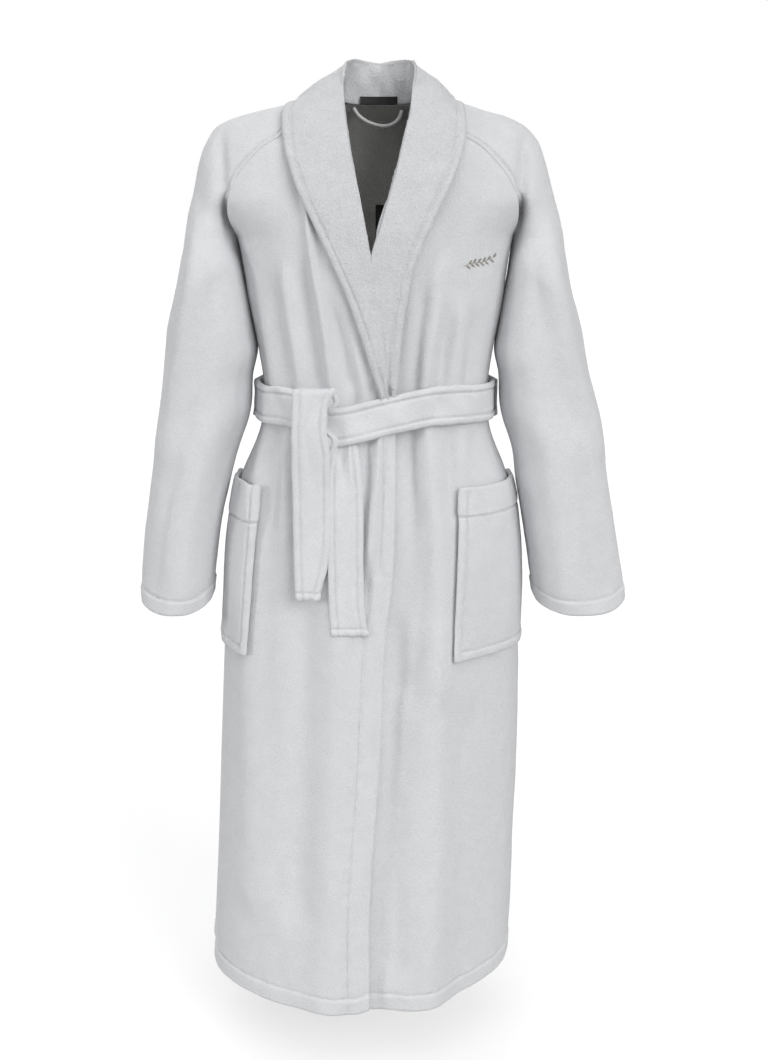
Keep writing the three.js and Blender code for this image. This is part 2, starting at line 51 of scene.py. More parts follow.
camera_data.lens = 49.1
camera = bpy.data.objects.new("camera", camera_data)
camera.location = (0.0138, -1.912, -0.0986)
camera.rotation_euler = (math.radians(90 - 13.5), 0, 0)
bpy.context.scene.collection.objects.link(camera)
bpy.context.scene.camera = camera


# ---- hanging loop ----
# A short length of twisted white cotton cord, sewn into the back neck seam at both ends. Three
# strands are laid round each other, so the tube has three lobes that turn along its length.
MM = 0.001
LOOP_ROUTE = [
    (-26, 64, -3),
    (-20, 63, -12),
    (-10, 62, -19.5),
    (3, 61.5, -24.5),
    (15, 61.5, -26),
    (26, 62, -23),
    (34, 63, -15.5),
    (37, 64, -6),
]
LOOP_RADIUS = 2.6
LOOP_TURNS = 9


def curve_through(points, shares):
    """Points at the given shares of a smooth curve through points, which may be arrays of points."""
    points = np.asarray(points, float)
    line = np.concatenate([[2 * points[0] - points[1]], points, [2 * points[-1] - points[-2]]])
    place = np.clip(np.asarray(shares, float), 0, 1) * (len(points) - 1)
    first = np.minimum(place.astype(int), len(points) - 2)
    t = (place - first).reshape((-1,) + (1,) * (points.ndim - 1))
    p0, p1, p2, p3 = (line[first + k] for k in range(4))
    gaps = ((p0, p1), (p1, p2), (p2, p3))
    d0, d1, d2 = (np.linalg.norm(b - a, axis=-1)[..., None] ** 0.5 for a, b in gaps)
    m1 = ((p1 - p0) / d0 - (p2 - p0) / (d0 + d1) + (p2 - p1) / d1) * d1
    m2 = ((p2 - p1) / d1 - (p3 - p1) / (d1 + d2) + (p3 - p2) / d2) * d1
    ease = t * t * (3 - 2 * t)
    return p1 + (p2 - p1) * ease + m1 * (t**3 - 2 * t**2 + t) + m2 * (t**3 - t**2)


def unit(vectors):
    """Vectors scaled to length 1."""
    return vectors / np.maximum(np.linalg.norm(vectors, axis=-1), 1e-9)[..., None]


def new_mesh(name, points, faces, materials=()):
    """A mesh object from points in millimetres and faces, shaded smooth."""
    mesh = bpy.data.meshes.new(name)
    mesh.from_pydata((points * MM).tolist(), [], faces)
    mesh.shade_smooth()
    for material in materials:
        mesh.materials.append(material)
    piece = bpy.data.objects.new(name, mesh)
    bpy.context.scene.collection.objects.link(piece)
    return piece


def new_material(name):
    """A material with its node tree, and its Principled shader."""
    material = bpy.data.materials.new(name)
    material.use_nodes = True
    return material, material.node_tree.nodes["Principled BSDF"]


def two_toned(nodes, links, fibres, dark, light, shader):
    """Colours the shader from dark to light by a mask of its fibres."""
    tone = nodes.new("ShaderNodeMix")
    tone.data_type = "RGBA"
    tone.inputs["A"].default_value = (*dark, 1)
    tone.inputs["B"].default_value = (*light, 1)
    links.new(fibres, tone.inputs["Factor"])
    links.new(tone.outputs["Result"], shader.inputs["Base Color"])


def raised_by(nodes, links, height, strength, depth, shader):
    """Raises the shader's surface by a mask, up to a depth in metres."""
    bump = nodes.new("ShaderNodeBump")
    bump.inputs["Strength"].default_value = strength
    bump.inputs["Distance"].default_value = depth
    links.new(height, bump.inputs["Height"])
    links.new(bump.outputs["Normal"], shader.inputs["Normal"])


def fibrous(name, color, darkest, lightest, texture_kind, settings, roughness, bump=None):
    """A matt fibre: shares darkest to lightest of its colour, and its bump, follow a texture."""
    material, shader = new_material(name)
    nodes, links = material.node_tree.nodes, material.node_tree.links
    place = nodes.new("ShaderNodeTexCoord")
    texture = nodes.new(texture_kind)
    for setting, value in settings.items():
        texture.inputs[setting].default_value = value
    links.new(place.outputs["Object"], texture.inputs["Vector"])
    dark, light = ([c * share for c in color] for share in (darkest, lightest))
    two_toned(nodes, links, texture.outputs["Fac"], dark, light, shader)
    if bump:
        raised_by(nodes, links, texture.outputs["Fac"], *bump, shader)
    shader.inputs["Roughness"].default_value = roughness
    return material


def cotton_cord(name, color, twist_scale):
    """Twisted cotton: a fine noise in its tone and bump, and a soft, matt surface."""
    settings = {"Scale": twist_scale, "Detail": 4}
    return fibrous(name, color, 0.86, 1, "ShaderNodeTexNoise", settings, 0.8, (0.5, 0.0004))


def twisted_tube(name, route, radius, turns, material):
    """A three-strand cord along a route of points."""
    sides = 18
    forward = unit(np.gradient(route, axis=0))
    across = unit(np.cross(forward, (0, 1, 0.01)))
    over = np.cross(across, forward)
    lobe = np.linspace(0, 2 * math.pi, sides, endpoint=False)
    turned = np.linspace(0, 2 * math.pi * turns, len(route))[:, None]
    reach = radius * (0.8 + 0.2 * np.abs(np.cos(1.5 * (lobe[None] - turned))))[..., None]
    ring = np.cos(lobe)[None, :, None] * across[:, None] + np.sin(lobe)[None, :, None] * over[:, None]
    points = (route[:, None] + ring * reach).reshape(-1, 3)
    count = len(route)
    faces = []
    for j in range(count - 1):
        for i in range(sides):
            a, b = j * sides + i, j * sides + (i + 1) % sides
            faces.append((a, b, b + sides, a + sides))
    faces.append(list(range(sides))[::-1])
    faces.append([(count - 1) * sides + i for i in range(sides)])
    return new_mesh(name, points, faces, [material])


loop_line = curve_through(LOOP_ROUTE, np.linspace(0, 1, 120))
cord_cotton = cotton_cord("cord_cotton", (0.84, 0.84, 0.83), 900)
hanging_loop = twisted_tube("hanging_loop_cord", loop_line, LOOP_RADIUS, LOOP_TURNS, cord_cotton)
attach(hanging_loop, "neck_loop")
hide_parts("hanging_loop")


# ---- towelling, and the shape of the body ----
# All of the robe is cut from one white cotton towelling, sheared soft outside. The body hangs from
# the shoulders, is drawn in by the belt and widens to the hem, in a rounded-oblong plan outline.
CLOTH = 4.5
SQUARENESS = 2.3
HEM_LEVEL = -1157
UNDERARM_LEVEL = -166
NECK_SEAM_LEVEL = 3
FRONT_NECK_LEVEL = -8
FULL_TURN = 2 * math.pi
# height, centre x, half width, front depth, back depth
BODY_STATIONS = np.array([
    (HEM_LEVEL, -21, 211, 178, 155),
    (-1000, -14, 208, 168, 150),
    (-850, -8, 206, 158, 144),
    (-650, -3, 199, 144, 132),
    (-560, -1, 192, 138, 126),
    (-480, 1, 178, 130, 118),
    (-415, 2, 153, 121, 106),
    (-362, 3, 148, 115, 98),
    (-310, 3, 154, 115, 100),
    (-250, 3, 165, 114, 104),
    (UNDERARM_LEVEL, 2, 178, 112, 108),
    (-150, 1, 190, 109, 108),
    (-135, 0, 207, 105, 108),
    (-116, 0, 226, 99.5, 108),
    (-70, -1, 220, 86, 106),
    (-44, -1, 209, 74, 103),
    (-26, -2, 192, 60, 98),
    (-15, -1, 165, 50, 93),
    (-9, 2, 138, 42, 88),
    (0, 5, 104, 28, 78),
    (6, 6, 84, 18, 70),
    (16, 8, 40, 8, 40),
], float)
# height, distance of the raglan seams from the centre line
RAGLAN_STATIONS = np.array([
    (UNDERARM_LEVEL, 178),
    (-137, 182),
    (-101, 175),
    (-84, 165),
    (-70, 153),
    (-52, 134),
    (-40, 113),
    (-24, 92),
    (FRONT_NECK_LEVEL, 74),
    (NECK_SEAM_LEVEL, 66),
], float)


def smooth(t):
    """An easing from 0 to 1 as t goes from 0 to 1."""
    t = np.clip(t, 0, 1)
    return t * t * (3 - 2 * t)


def mix(a, b, t):
    """From a to b as t goes from 0 to 1."""
    return a + (b - a) * t


def at(stations, z, column=1):
    """A column of a station table at the given heights, on a smooth curve."""
    heights, values = stations[:, 0], stations[:, column]
    slopes = np.empty_like(values)
    slopes[1:-1] = (values[2:] - values[:-2]) / (heights[2:] - heights[:-2])
    slopes[[0, -1]] = np.diff(values)[[0, -1]] / np.diff(heights)[[0, -1]]
    z = np.clip(z, heights[0], heights[-1])
    i = np.clip(np.searchsorted(heights, z, side="right") - 1, 0, len(heights) - 2)
    span = heights[i + 1] - heights[i]
    t = (z - heights[i]) / span
    line = mix(values[i], values[i + 1], t * t * (3 - 2 * t))
    start = slopes[i] * span * (t**3 - 2 * t**2 + t)
    return line + start + slopes[i + 1] * span * (t**3 - t**2)


def angle_at(z, x, side):
    """Plan angle where the body outline reaches x: negative side for the front."""
    share = (x - at(BODY_STATIONS, z, 1)) / at(BODY_STATIONS, z, 2)
    share = np.clip(share, -1, 1)
    return side * np.arccos(np.sign(share) * np.abs(share) ** (SQUARENESS / 2))


def outline(angle):
    """Point of the rounded-oblong outline at a plan angle, for half width and depth of 1."""
    power = 2 / SQUARENESS
    c, s = np.cos(angle), np.sin(angle)
    return np.sign(c) * np.abs(c) ** power, np.sign(s) * np.abs(s) ** power


def body_point(z, angle, stand=0, half_width=None):
    """Point of the body cloth's outer face, stand millimetres outside it."""
    z, angle = np.broadcast_arrays(np.asarray(z, float), np.asarray(angle, float))
    across, through = outline(angle)
    if half_width is None:
        half_width = at(BODY_STATIONS, z, 2)
    depth = np.where(through < 0, at(BODY_STATIONS, z, 3), at(BODY_STATIONS, z, 4))
    x = at(BODY_STATIONS, z, 1) + across * (half_width + stand)
    return np.stack([x, through * (depth + stand), z], axis=-1)


def graded(length, coarse, fine, zones):
    """Places from 0 to length, a fine step apart inside the zones and a coarse step elsewhere."""
    place = np.linspace(0, length, 3000)
    step = np.full_like(place, coarse)
    for low, high in zones:
        step[(place >= low) & (place <= high)] = fine
    count = np.concatenate([[0], np.cumsum(np.diff(place) / step[1:])])
    return np.interp(np.linspace(0, count[-1], int(count[-1]) + 2), count, place)


def run_lengths(points, axis):
    """Distance run along a grid's rows (axis 1) or columns (axis 0) from their first points."""
    steps = np.linalg.norm(np.diff(points, axis=axis), axis=-1)
    pad = [(0, 0), (0, 0)]
    pad[axis] = (1, 0)
    return np.cumsum(np.pad(steps, pad), axis=axis)


def grid_numbers(rows, columns):
    """Vertex numbers of a grid."""
    return np.arange(rows * columns).reshape(rows, columns)


def grid_faces(numbers):
    """Quads of a grid whose rows run down and columns run right, seen from outside."""
    corners = [numbers[:-1, :-1], numbers[1:, :-1], numbers[1:, 1:], numbers[:-1, 1:]]
    return np.stack(corners, axis=-1).reshape(-1, 4)


def vertex_normals(points, faces):
    """Outward directions at the points of a surface of quads."""
    corners = points[faces]
    face_normals = np.cross(corners[:, 2] - corners[:, 0], corners[:, 3] - corners[:, 1])
    normals = np.zeros_like(points)
    for corner in range(4):
        np.add.at(normals, faces[:, corner], face_normals)
    return unit(normals)


def edge_loops(faces):
    """The open edges of a surface, as loops of vertex numbers that keep the surface on the left."""
    edges = np.concatenate([faces[:, [k, (k + 1) % 4]] for k in range(4)])
    known = set(map(tuple, edges.tolist()))
    after = {a: b for a, b in known if (b, a) not in known}
    loops = []
    while after:
        loop = [next(iter(sorted(after)))]
        while loop[-1] in after:
            loop.append(after.pop(loop[-1]))
        loops.append(np.array(loop[:-1]))
    return loops


def relief_waves(points, wavelength, seed, stretch=(1, 1, 0.4), count=14):
    """Soft, irregular waves of about one wavelength, between -1 and 1, longer down the cloth."""
    chance = np.random.default_rng(seed)
    directions = unit(chance.normal(size=(count, 3))) * np.array(stretch)
    numbers = FULL_TURN / wavelength * chance.uniform(0.7, 1.4, (count, 1)) * directions
    phases = chance.uniform(0, FULL_TURN, count)
    return np.sin(points @ numbers.T + phases).sum(axis=-1) / math.sqrt(2 * count)


def threads(starts, ends, normals, radius):
    """Short rounded threads, as points and faces, from starts to ends on a surface."""
    along = unit(ends - starts)
    side = unit(np.cross(along, normals))
    rings = ((0.0, 0.3), (0.2, 1.0), (0.8, 1.0), (1.0, 0.3))
    around = ((1, 0), (0, 1), (-1, 0), (0, -1))
    points = []
    for share, reach in rings:
        middle = mix(starts, ends, share)
        for across, up in around:
            points.append(middle + radius * reach * (side * across + unit(normals) * up))
    points = np.stack(points, axis=1)
    quads = []
    for ring in range(len(rings) - 1):
        for k in range(4):
            a, b = ring * 4 + k, ring * 4 + (k + 1) % 4
            quads.append((a, b, b + 4, a + 4))
    quads += [(3, 2, 1, 0), (12, 13, 14, 15)]
    first = np.arange(len(starts))[:, None, None] * points.shape[1]
    return points.reshape(-1, 3), (np.array(quads)[None] + first).reshape(-1, 4)


STITCH_PITCH = 4.2
STITCH_RADIUS = 0.55


def stitch_line(path, normals, pitch=STITCH_PITCH):
    """Lockstitches along a path on the cloth, half sunk in it."""
    run = np.concatenate([[0], np.cumsum(np.linalg.norm(np.diff(path, axis=0), axis=1))])
    begin = np.arange(0.5 * pitch, run[-1] - pitch, pitch)

    def place(distance, values):
        return np.stack([np.interp(distance, run, values[:, k]) for k in range(3)], axis=-1)

    up = unit(place(begin, normals))
    starts = place(begin, path) + up * 0.1
    ends = place(begin + 0.7 * pitch, path) + up * 0.1
    return threads(starts, ends, up, STITCH_RADIUS)


def stitches_where(points, normals, measure, value, down_columns=False):
    """Lockstitches where measure, which changes steadily along each row or column, has a value."""
    grids = [points, normals, np.broadcast_to(measure, points.shape[:2])]
    if down_columns:
        grids = [np.swapaxes(grid, 0, 1) for grid in grids]
    if grids[2][0, -1] < grids[2][0, 0]:
        grids = [grid[:, ::-1] for grid in grids]
    path, ups = [], []
    for row, up, run in zip(*grids):
        path.append([np.interp(value, run, row[:, k]) for k in range(3)])
        ups.append([np.interp(value, run, up[:, k]) for k in range(3)])
    return stitch_line(np.array(path), np.array(ups))


def cloth_piece(name, points, faces, thickness, materials, stitches=(), lining_slot=0):
    """A sheet of cloth with thickness and rounded edges, from its outer face.

    Slot 0 of the materials is the cloth and slot 1 the sewing thread; lining_slot is the inner
    face's own."""
    thickness = np.broadcast_to(np.asarray(thickness, float), points.shape[:-1]).reshape(-1, 1)
    points = points.reshape(-1, 3)
    normals = vertex_normals(points, faces)
    shells = [points, points - normals * thickness]
    total = 2 * len(points)
    all_faces = [faces, faces[:, ::-1] + len(points)]
    slots = [np.zeros(len(faces), int), np.full(len(faces), lining_slot)]
    rim_steps = 5
    for loop in edge_loops(faces):
        line = points[loop]
        along = np.roll(line, -1, axis=0) - np.roll(line, 1, axis=0)
        out = unit(np.cross(along, normals[loop]))
        half = thickness[loop] / 2
        rings = [loop]
        for step in range(1, rim_steps):
            turn = math.pi * step / rim_steps
            bulge = normals[loop] * (math.cos(turn) - 1) + out * math.sin(turn)
            shells.append(line + half * bulge)
            rings.append(np.arange(len(loop)) + total)
            total += len(loop)
        rings.append(loop + len(points))
        for ring, below in zip(rings, rings[1:]):
            quads = [np.roll(ring, -1), ring, below, np.roll(below, -1)]
            all_faces.append(np.stack(quads, axis=-1))
            slots.append(np.zeros(len(loop), int))
    for stitch_points, stitch_faces in stitches:
        shells.append(stitch_points)
        all_faces.append(stitch_faces + total)
        slots.append(np.ones(len(stitch_faces), int))
        total += len(stitch_points)
    piece = new_mesh(name, np.concatenate(shells), np.concatenate(all_faces).tolist(), materials)
    piece.data.polygons.foreach_set("material_index", np.concatenate(slots))
    return piece


def pile_group():
    """Node group for cotton pile: clumps of fibre seen as fine light and dark, and their height."""
    group = bpy.data.node_groups.new("cotton_pile", "ShaderNodeTree")
    for name, value in (("Clump Scale", 420.0), ("Blotch", 0.35)):
        socket = group.interface.new_socket(name, in_out="INPUT", socket_type="NodeSocketFloat")
        socket.default_value = value
    for name in ("Shade", "Height"):
        group.interface.new_socket(name, in_out="OUTPUT", socket_type="NodeSocketFloat")
    nodes, links = group.nodes, group.links
    given, result = nodes.new("NodeGroupInput"), nodes.new("NodeGroupOutput")
    place = nodes.new("ShaderNodeTexCoord")
    clumps = nodes.new("ShaderNodeTexNoise")
    clumps.inputs["Detail"].default_value = 3
    clumps.inputs["Roughness"].default_value = 0.62
    tufts = nodes.new("ShaderNodeTexVoronoi")
    patches = nodes.new("ShaderNodeTexNoise")
    patches.inputs["Scale"].default_value = 55
    patches.inputs["Detail"].default_value = 3
    finer = nodes.new("ShaderNodeMath")
    finer.operation = "MULTIPLY"
    finer.inputs[1].default_value = 1.7
    links.new(given.outputs["Clump Scale"], finer.inputs[0])
    links.new(given.outputs["Clump Scale"], clumps.inputs["Scale"])
    links.new(finer.outputs[0], tufts.inputs["Scale"])
    for texture in (clumps, tufts, patches):
        links.new(place.outputs["Object"], texture.inputs["Vector"])
    rise = nodes.new("ShaderNodeMath")
    rise.operation = "MULTIPLY_ADD"
    rise.inputs[1].default_value = -0.55
    links.new(tufts.outputs["Distance"], rise.inputs[0])
    links.new(clumps.outputs["Fac"], rise.inputs[2])
    shade = nodes.new("ShaderNodeMix")
    links.new(given.outputs["Blotch"], shade.inputs["Factor"])
    links.new(rise.outputs[0], shade.inputs["A"])
    links.new(patches.outputs["Fac"], shade.inputs["B"])
    links.new(shade.outputs["Result"], result.inputs["Shade"])
    links.new(rise.outputs[0], result.inputs["Height"])
    return group


cotton_pile = pile_group()


def towelling(name, light, dark, clump_scale, depth):
    """Towelling: a pile whose hollows are a little darker, with soft edge-on sheen."""
    material, shader = new_material(name)
    nodes, links = material.node_tree.nodes, material.node_tree.links
    pile = nodes.new("ShaderNodeGroup")
    pile.node_tree = cotton_pile
    pile.inputs["Clump Scale"].default_value = clump_scale
    spread = nodes.new("ShaderNodeMapRange")
    spread.inputs["From Min"].default_value = 0.12
    spread.inputs["From Max"].default_value = 0.6
    links.new(pile.outputs["Shade"], spread.inputs["Value"])
    two_toned(nodes, links, spread.outputs["Result"], dark, light, shader)
    raised_by(nodes, links, pile.outputs["Height"], 0.7, depth, shader)
    shader.inputs["Roughness"].default_value = 0.92
    shader.inputs["Specular IOR Level"].default_value = 0.15
    shader.inputs["Sheen Weight"].default_value = 0.25
    shader.inputs["Sheen Roughness"].default_value = 0.6
    return material


def sewing_thread(name, color):
    """Spun thread: smoother and a little brighter than the pile it is sewn into."""
    return fibrous(name, color, 0.8, 1, "ShaderNodeTexNoise", {"Scale": 2200}, 0.6)


outer_cloth = towelling("white_towelling", (0.80, 0.805, 0.82), (0.70, 0.705, 0.72), 420, 0.0011)
white_thread = sewing_thread("white_thread", (0.78, 0.785, 0.80))


# ---- folds of the body cloth ----
# The belt gathers the cloth, so soft folds run up to the chest and down the skirt from it, and
# the skirt ends in broad waves at the hem.
# height of each fold (less than 0 for a hollow), then z, x and half width, from top to bottom
FRONT_FOLDS = [
    (5.5, [(-110, -83, 4), (-160, -78, 5), (-202, -72, 6), (-252, -63, 8), (-297, -56, 9),
           (-372, -50, 9)]),
    (-4.5, [(-190, -86, 6), (-216, -85, 7), (-285, -74, 9), (-338, -66, 8), (-372, -64, 7)]),
    (4.0, [(-195, -109, 8), (-257, -105, 9), (-314, -96, 9), (-372, -90, 8)]),
    (-3.0, [(-215, -124, 9), (-285, -113, 9), (-331, -106, 8), (-372, -104, 7)]),
    (3.0, [(-250, -136, 8), (-372, -122, 8)]),
    (-4.0, [(-240, -50, 8), (-297, -38, 9), (-372, -24, 9)]),
    (3.0, [(-290, -24, 7), (-372, -8, 7)]),
    (3.5, [(-180, 84, 12), (-244, 82, 12), (-309, 70, 9), (-372, 64, 8)]),
    (-4.0, [(-225, 64, 9), (-276, 58, 8), (-372, 52, 6)]),
    (-3.5, [(-262, 96, 8), (-310, 90, 7), (-372, 84, 6)]),
    (2.5, [(-240, 112, 10), (-372, 103, 8)]),
    (-2.5, [(-262, 128, 9), (-372, 118, 7)]),
    (-4.5, [(-372, 47, 6), (-399, 49, 7), (-462, 50, 9), (-527, 56, 13), (-640, 58, 20), (-760, 44, 24)]),
    (3.5, [(-372, 66, 7), (-440, 74, 10), (-560, 82, 18), (-760, 84, 26)]),
    (-2.5, [(-372, 92, 7), (-430, 98, 9), (-520, 102, 12)]),
    (3.0, [(-372, 112, 7), (-470, 118, 12)]),
    (4.0, [(-372, 12, 6), (-438, 7, 7), (-500, 0, 9), (-580, -8, 12)]),
    (-4.0, [(-372, -6, 6), (-419, -8, 6), (-473, -8, 8), (-542, -15, 10), (-620, -20, 14)]),
    (-3.0, [(-372, -72, 7), (-460, -78, 9), (-640, -90, 18), (-1048, -104, 26)]),
    (3.0, [(-372, -104, 6), (-440, -110, 8), (-560, -116, 14)]),
    (-2.5, [(-372, -118, 6), (-430, -126, 8), (-540, -132, 12)]),
    (3.0, [(-372, -130, 6), (-450, -146, 10), (-620, -158, 16), (-1048, -169, 24)]),
    (3.5, [(-560, -44, 16), (-691, -47, 20), (-1048, -58, 26), (-1157, -64, 30)]),
    (-3.0, [(-640, 32, 12), (-760, 30, 14), (-974, 28, 16), (-1120, 30, 18)]),
    (3.5, [(-640, 78, 18), (-860, 78, 22), (-1157, 70, 26)]),
    (-3.0, [(-760, 122, 16), (-1157, 116, 22)]),
]
BACK_FOLDS = [
    (4.0, [(-90, -118, 12), (-200, -104, 14), (-372, -84, 9)]),
    (-3.5, [(-120, -84, 12), (-240, -76, 12), (-372, -62, 8)]),
    (3.5, [(-190, -44, 12), (-372, -38, 8)]),
    (-3.0, [(-150, 2, 14), (-372, -6, 8)]),
    (4.0, [(-170, 40, 12), (-372, 28, 8)]),
    (-3.5, [(-110, 82, 12), (-250, 70, 12), (-372, 58, 8)]),
    (4.0, [(-80, 122, 12), (-220, 106, 13), (-372, 90, 9)]),
    (4.5, [(-372, -104, 8), (-480, -116, 13), (-760, -130, 24), (-1157, -138, 32)]),
    (-4.0, [(-372, -76, 7), (-500, -84, 13), (-900, -92, 26), (-1157, -96, 30)]),
    (4.5, [(-372, -50, 7), (-520, -54, 14), (-860, -52, 26), (-1157, -50, 32)]),
    (-3.5, [(-372, -20, 7), (-500, -22, 12), (-760, -16, 20)]),
    (4.0, [(-372, 6, 7), (-520, 8, 13), (-900, 4, 26), (-1157, 2, 32)]),
    (-4.0, [(-372, 34, 7), (-500, 40, 12), (-860, 42, 24), (-1157, 44, 30)]),
    (4.5, [(-372, 62, 7), (-520, 72, 13), (-900, 84, 26), (-1157, 92, 32)]),
    (-3.5, [(-372, 92, 7), (-500, 108, 12), (-800, 124, 20)]),
]
FOLD_FADE = 55
FOLD_STRENGTH = 1.9
BELT_PRESS = 0.5
BELT_HEIGHT = -376


def fold_relief(x, z, folds):
    """Height of the cloth, in millimetres, raised by each fold and lowered by each hollow."""
    relief = np.zeros(np.broadcast(x, z).shape)
    for height, line in folds:
        levels, places, widths = np.array(line[::-1], float).T
        middle, width = np.interp(z, levels, places), np.interp(z, levels, widths)
        fade = smooth((line[0][0] + FOLD_FADE / 3 - z) / FOLD_FADE)
        if line[-1][0] > HEM_LEVEL:
            fade = fade * smooth((z - line[-1][0] + FOLD_FADE / 3) / FOLD_FADE)
        relief += height * fade * np.exp(-(((x - middle) / width) ** 2))
    return relief


def skirt_waves(angle, z):
    """Broad waves round the skirt that grow towards the hem."""
    wave = 2.2 * np.cos(5 * angle + 0.4) + 1.8 * np.cos(8 * angle + 2.1) + 1.2 * np.cos(11 * angle - 0.7)
    return wave * smooth((-430 - z) / 720)


def front_relief(x, z):
    """Folds of the front cloth at a place, as seen from in front."""
    pressed = 1 - BELT_PRESS * np.exp(-(((z - BELT_HEIGHT) / 32) ** 2))
    folds = FOLD_STRENGTH * pressed * fold_relief(x, z, FRONT_FOLDS)
    return folds + skirt_waves(angle_at(z, x, -1), z)


def soft_surface(points):
    """The small unevenness of thick, soft cloth."""
    broad = 0.8 * relief_waves(points, 70, 3)
    return broad + 0.35 * relief_waves(points, 22, 5) + 0.16 * relief_waves(points, 7, 8, (1, 1, 1))


def groove(distance, where, depth=1.3, width=1.9):
    """The dent that a line of stitching pulls into the cloth."""
    return -depth * np.exp(-(((distance - where) / width) ** 2))


def flattened(grid, numbers):
    """A grid's values, one for each vertex number."""
    values = np.zeros((numbers.max() + 1,) + grid.shape[2:])
    values[numbers] = grid
    return values


def shaped(points, relief, numbers=None):
    """A grid of cloth moved outwards by its relief: its points, outward directions and faces."""
    if numbers is None:
        numbers = grid_numbers(*relief.shape)
    faces = grid_faces(numbers)
    normals = vertex_normals(flattened(points, numbers), faces)[numbers]
    points = points + normals * relief[..., None]
    return points, vertex_normals(flattened(points, numbers), faces)[numbers], faces


# ---- back ----
# One piece of white towelling from side seam to side seam, cut away at the top for the raglan sleeves,
# with a turned and stitched hem. Its whole inner face is painted grey: painted shade for the dark inside
# of the robe.
HEM_WIDTH = 20
SEAM_TOPSTITCH = 7
FRONT_HEM_DROP = 22
BACK_HEM_DROP = 8
HEM_CURVE_TOP = -700


def raglan_x(z, side):
    """x of a raglan seam at a height."""
    return at(BODY_STATIONS, z, 1) + side * at(RAGLAN_STATIONS, z)


def seam_angle(z, side, back):
    """Plan angle where a panel ends: the raglan seam, and the side seam below the underarm."""
    above = angle_at(z, raglan_x(z, side), back)
    return np.where(z > UNDERARM_LEVEL, above, back * (0.0 if side > 0 else math.pi))


def hem_curve(z, angle):
    """Heights of a panel's rows, easing to the curve of the hem at the bottom."""
    s = np.sin(angle)
    drop = np.where(s < 0, FRONT_HEM_DROP, BACK_HEM_DROP) * np.abs(s) ** 1.5
    return z - drop * smooth((HEM_CURVE_TOP - z) / (HEM_CURVE_TOP - HEM_LEVEL))


def panel_grid(top, left_angle, right_angle, wide, edge_zones):
    """Heights and plan angles of a body panel's grid, finest at its edges and its hem."""
    deep = top - HEM_LEVEL
    levels = top - graded(deep, 4.0, 1.7, [(0, 8), (deep - 30, deep)])
    shares = graded(wide, 3.4, 1.6, edge_zones) / wide
    z = np.repeat(levels[:, None], len(shares), axis=1)
    return z, mix(left_angle(z), right_angle(z), shares[None])


def hem_relief(below):
    """The hem stands a little proud up to its line of stitching."""
    proud = 1.3 * (1 - smooth((below - HEM_WIDTH + 3) / 3))
    return proud + groove(below, HEM_WIDTH)


def pucker(points, distance, where, reach=9):
    """Small crumples beside a line of stitching."""
    near = np.exp(-(((distance - where) / reach) ** 2))
    return 0.7 * near * relief_waves(points, 17, 21, (1, 1, 1))


z, angle = panel_grid(
    NECK_SEAM_LEVEL,
    lambda z: seam_angle(z, 1, 1),
    lambda z: seam_angle(z, -1, 1),
    420,
    [(0, 12), (408, 420)],
)
points = body_point(z, angle)
points[..., 2] = hem_curve(z, angle)
across = run_lengths(points, 1)
hem_above = run_lengths(points[::-1], 0)[::-1]
folds = FOLD_STRENGTH * fold_relief(points[..., 0], z, BACK_FOLDS)
relief = folds + skirt_waves(angle, z) + soft_surface(points)
relief = relief * smooth(np.minimum(across, across[:, -1:] - across) / 26)
relief += hem_relief(hem_above) + pucker(points, hem_above, HEM_WIDTH)
points, normals, faces = shaped(points, relief)
# Painted shade: the inside of the back is white towelling, and this grey colour stands in for the shadow
# inside the robe.
painted_shade_lining = towelling("painted_shade_reverse", (0.57, 0.565, 0.545), (0.45, 0.445, 0.43), 420, 0.0011)
back = cloth_piece(
    "back_cloth",
    points,
    faces,
    CLOTH + 2.0 * smooth((HEM_WIDTH - hem_above) / 4),
    [outer_cloth, white_thread, painted_shade_lining],
    [stitches_where(points, normals, hem_above, HEM_WIDTH, down_columns=True)],
    lining_slot=2,
)
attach(back, "robe")
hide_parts("back_panel")


# ---- fronts ----
# Two pieces of towelling, the wearer's right lapped over the left. The free edges are turned in
# and stitched down: narrowly where the collar's facing still runs, then as a wide hem below it.
UPPER_EDGE_STATIONS = np.array([
    (-1180, -9),
    (-1003, -8),
    (-832, 5),
    (-697, 11),
    (-646, 15),
    (-584, 22),
    (-399, 25),
    (-340, 18),
    (-280, 6),
    (-192, -14),
    (-126, -28),
    (-75, -36),
    (FRONT_NECK_LEVEL, -46),
], float)
LOWER_EDGE_STATIONS = np.array([
    (-1180, -100),
    (-800, -88),
    (-480, -76),
    (-350, -66),
    (-280, -38),
    (-192, 10),
    (-145, 24),
    (-112, 34),
    (-38, 52),
    (FRONT_NECK_LEVEL, 58),
], float)
LAP_STEP = 9
LAP_OVERHANG = 14
LAP_EASE = 46
FACING_END = -584
NARROW_HEM = 12.5
WIDE_HEM = 25
EDGE_CURL = 1.6


def front_edge_relief(points, z, inward):
    """The turned edge of a front, with its lines of stitching, inward millimetres from the edge."""
    width = mix(NARROW_HEM, WIDE_HEM, smooth((FACING_END + 1 - z) / 2))
    proud = 1.5 * (1 - smooth((inward - width + 3) / 3)) + EDGE_CURL * (1 - smooth(inward / 9))
    cross_line = groove(z, FACING_END, 1.0) * (1 - smooth((inward - WIDE_HEM) / 2))
    return proud + groove(inward, width, 1.5) + cross_line + pucker(points, inward, width)


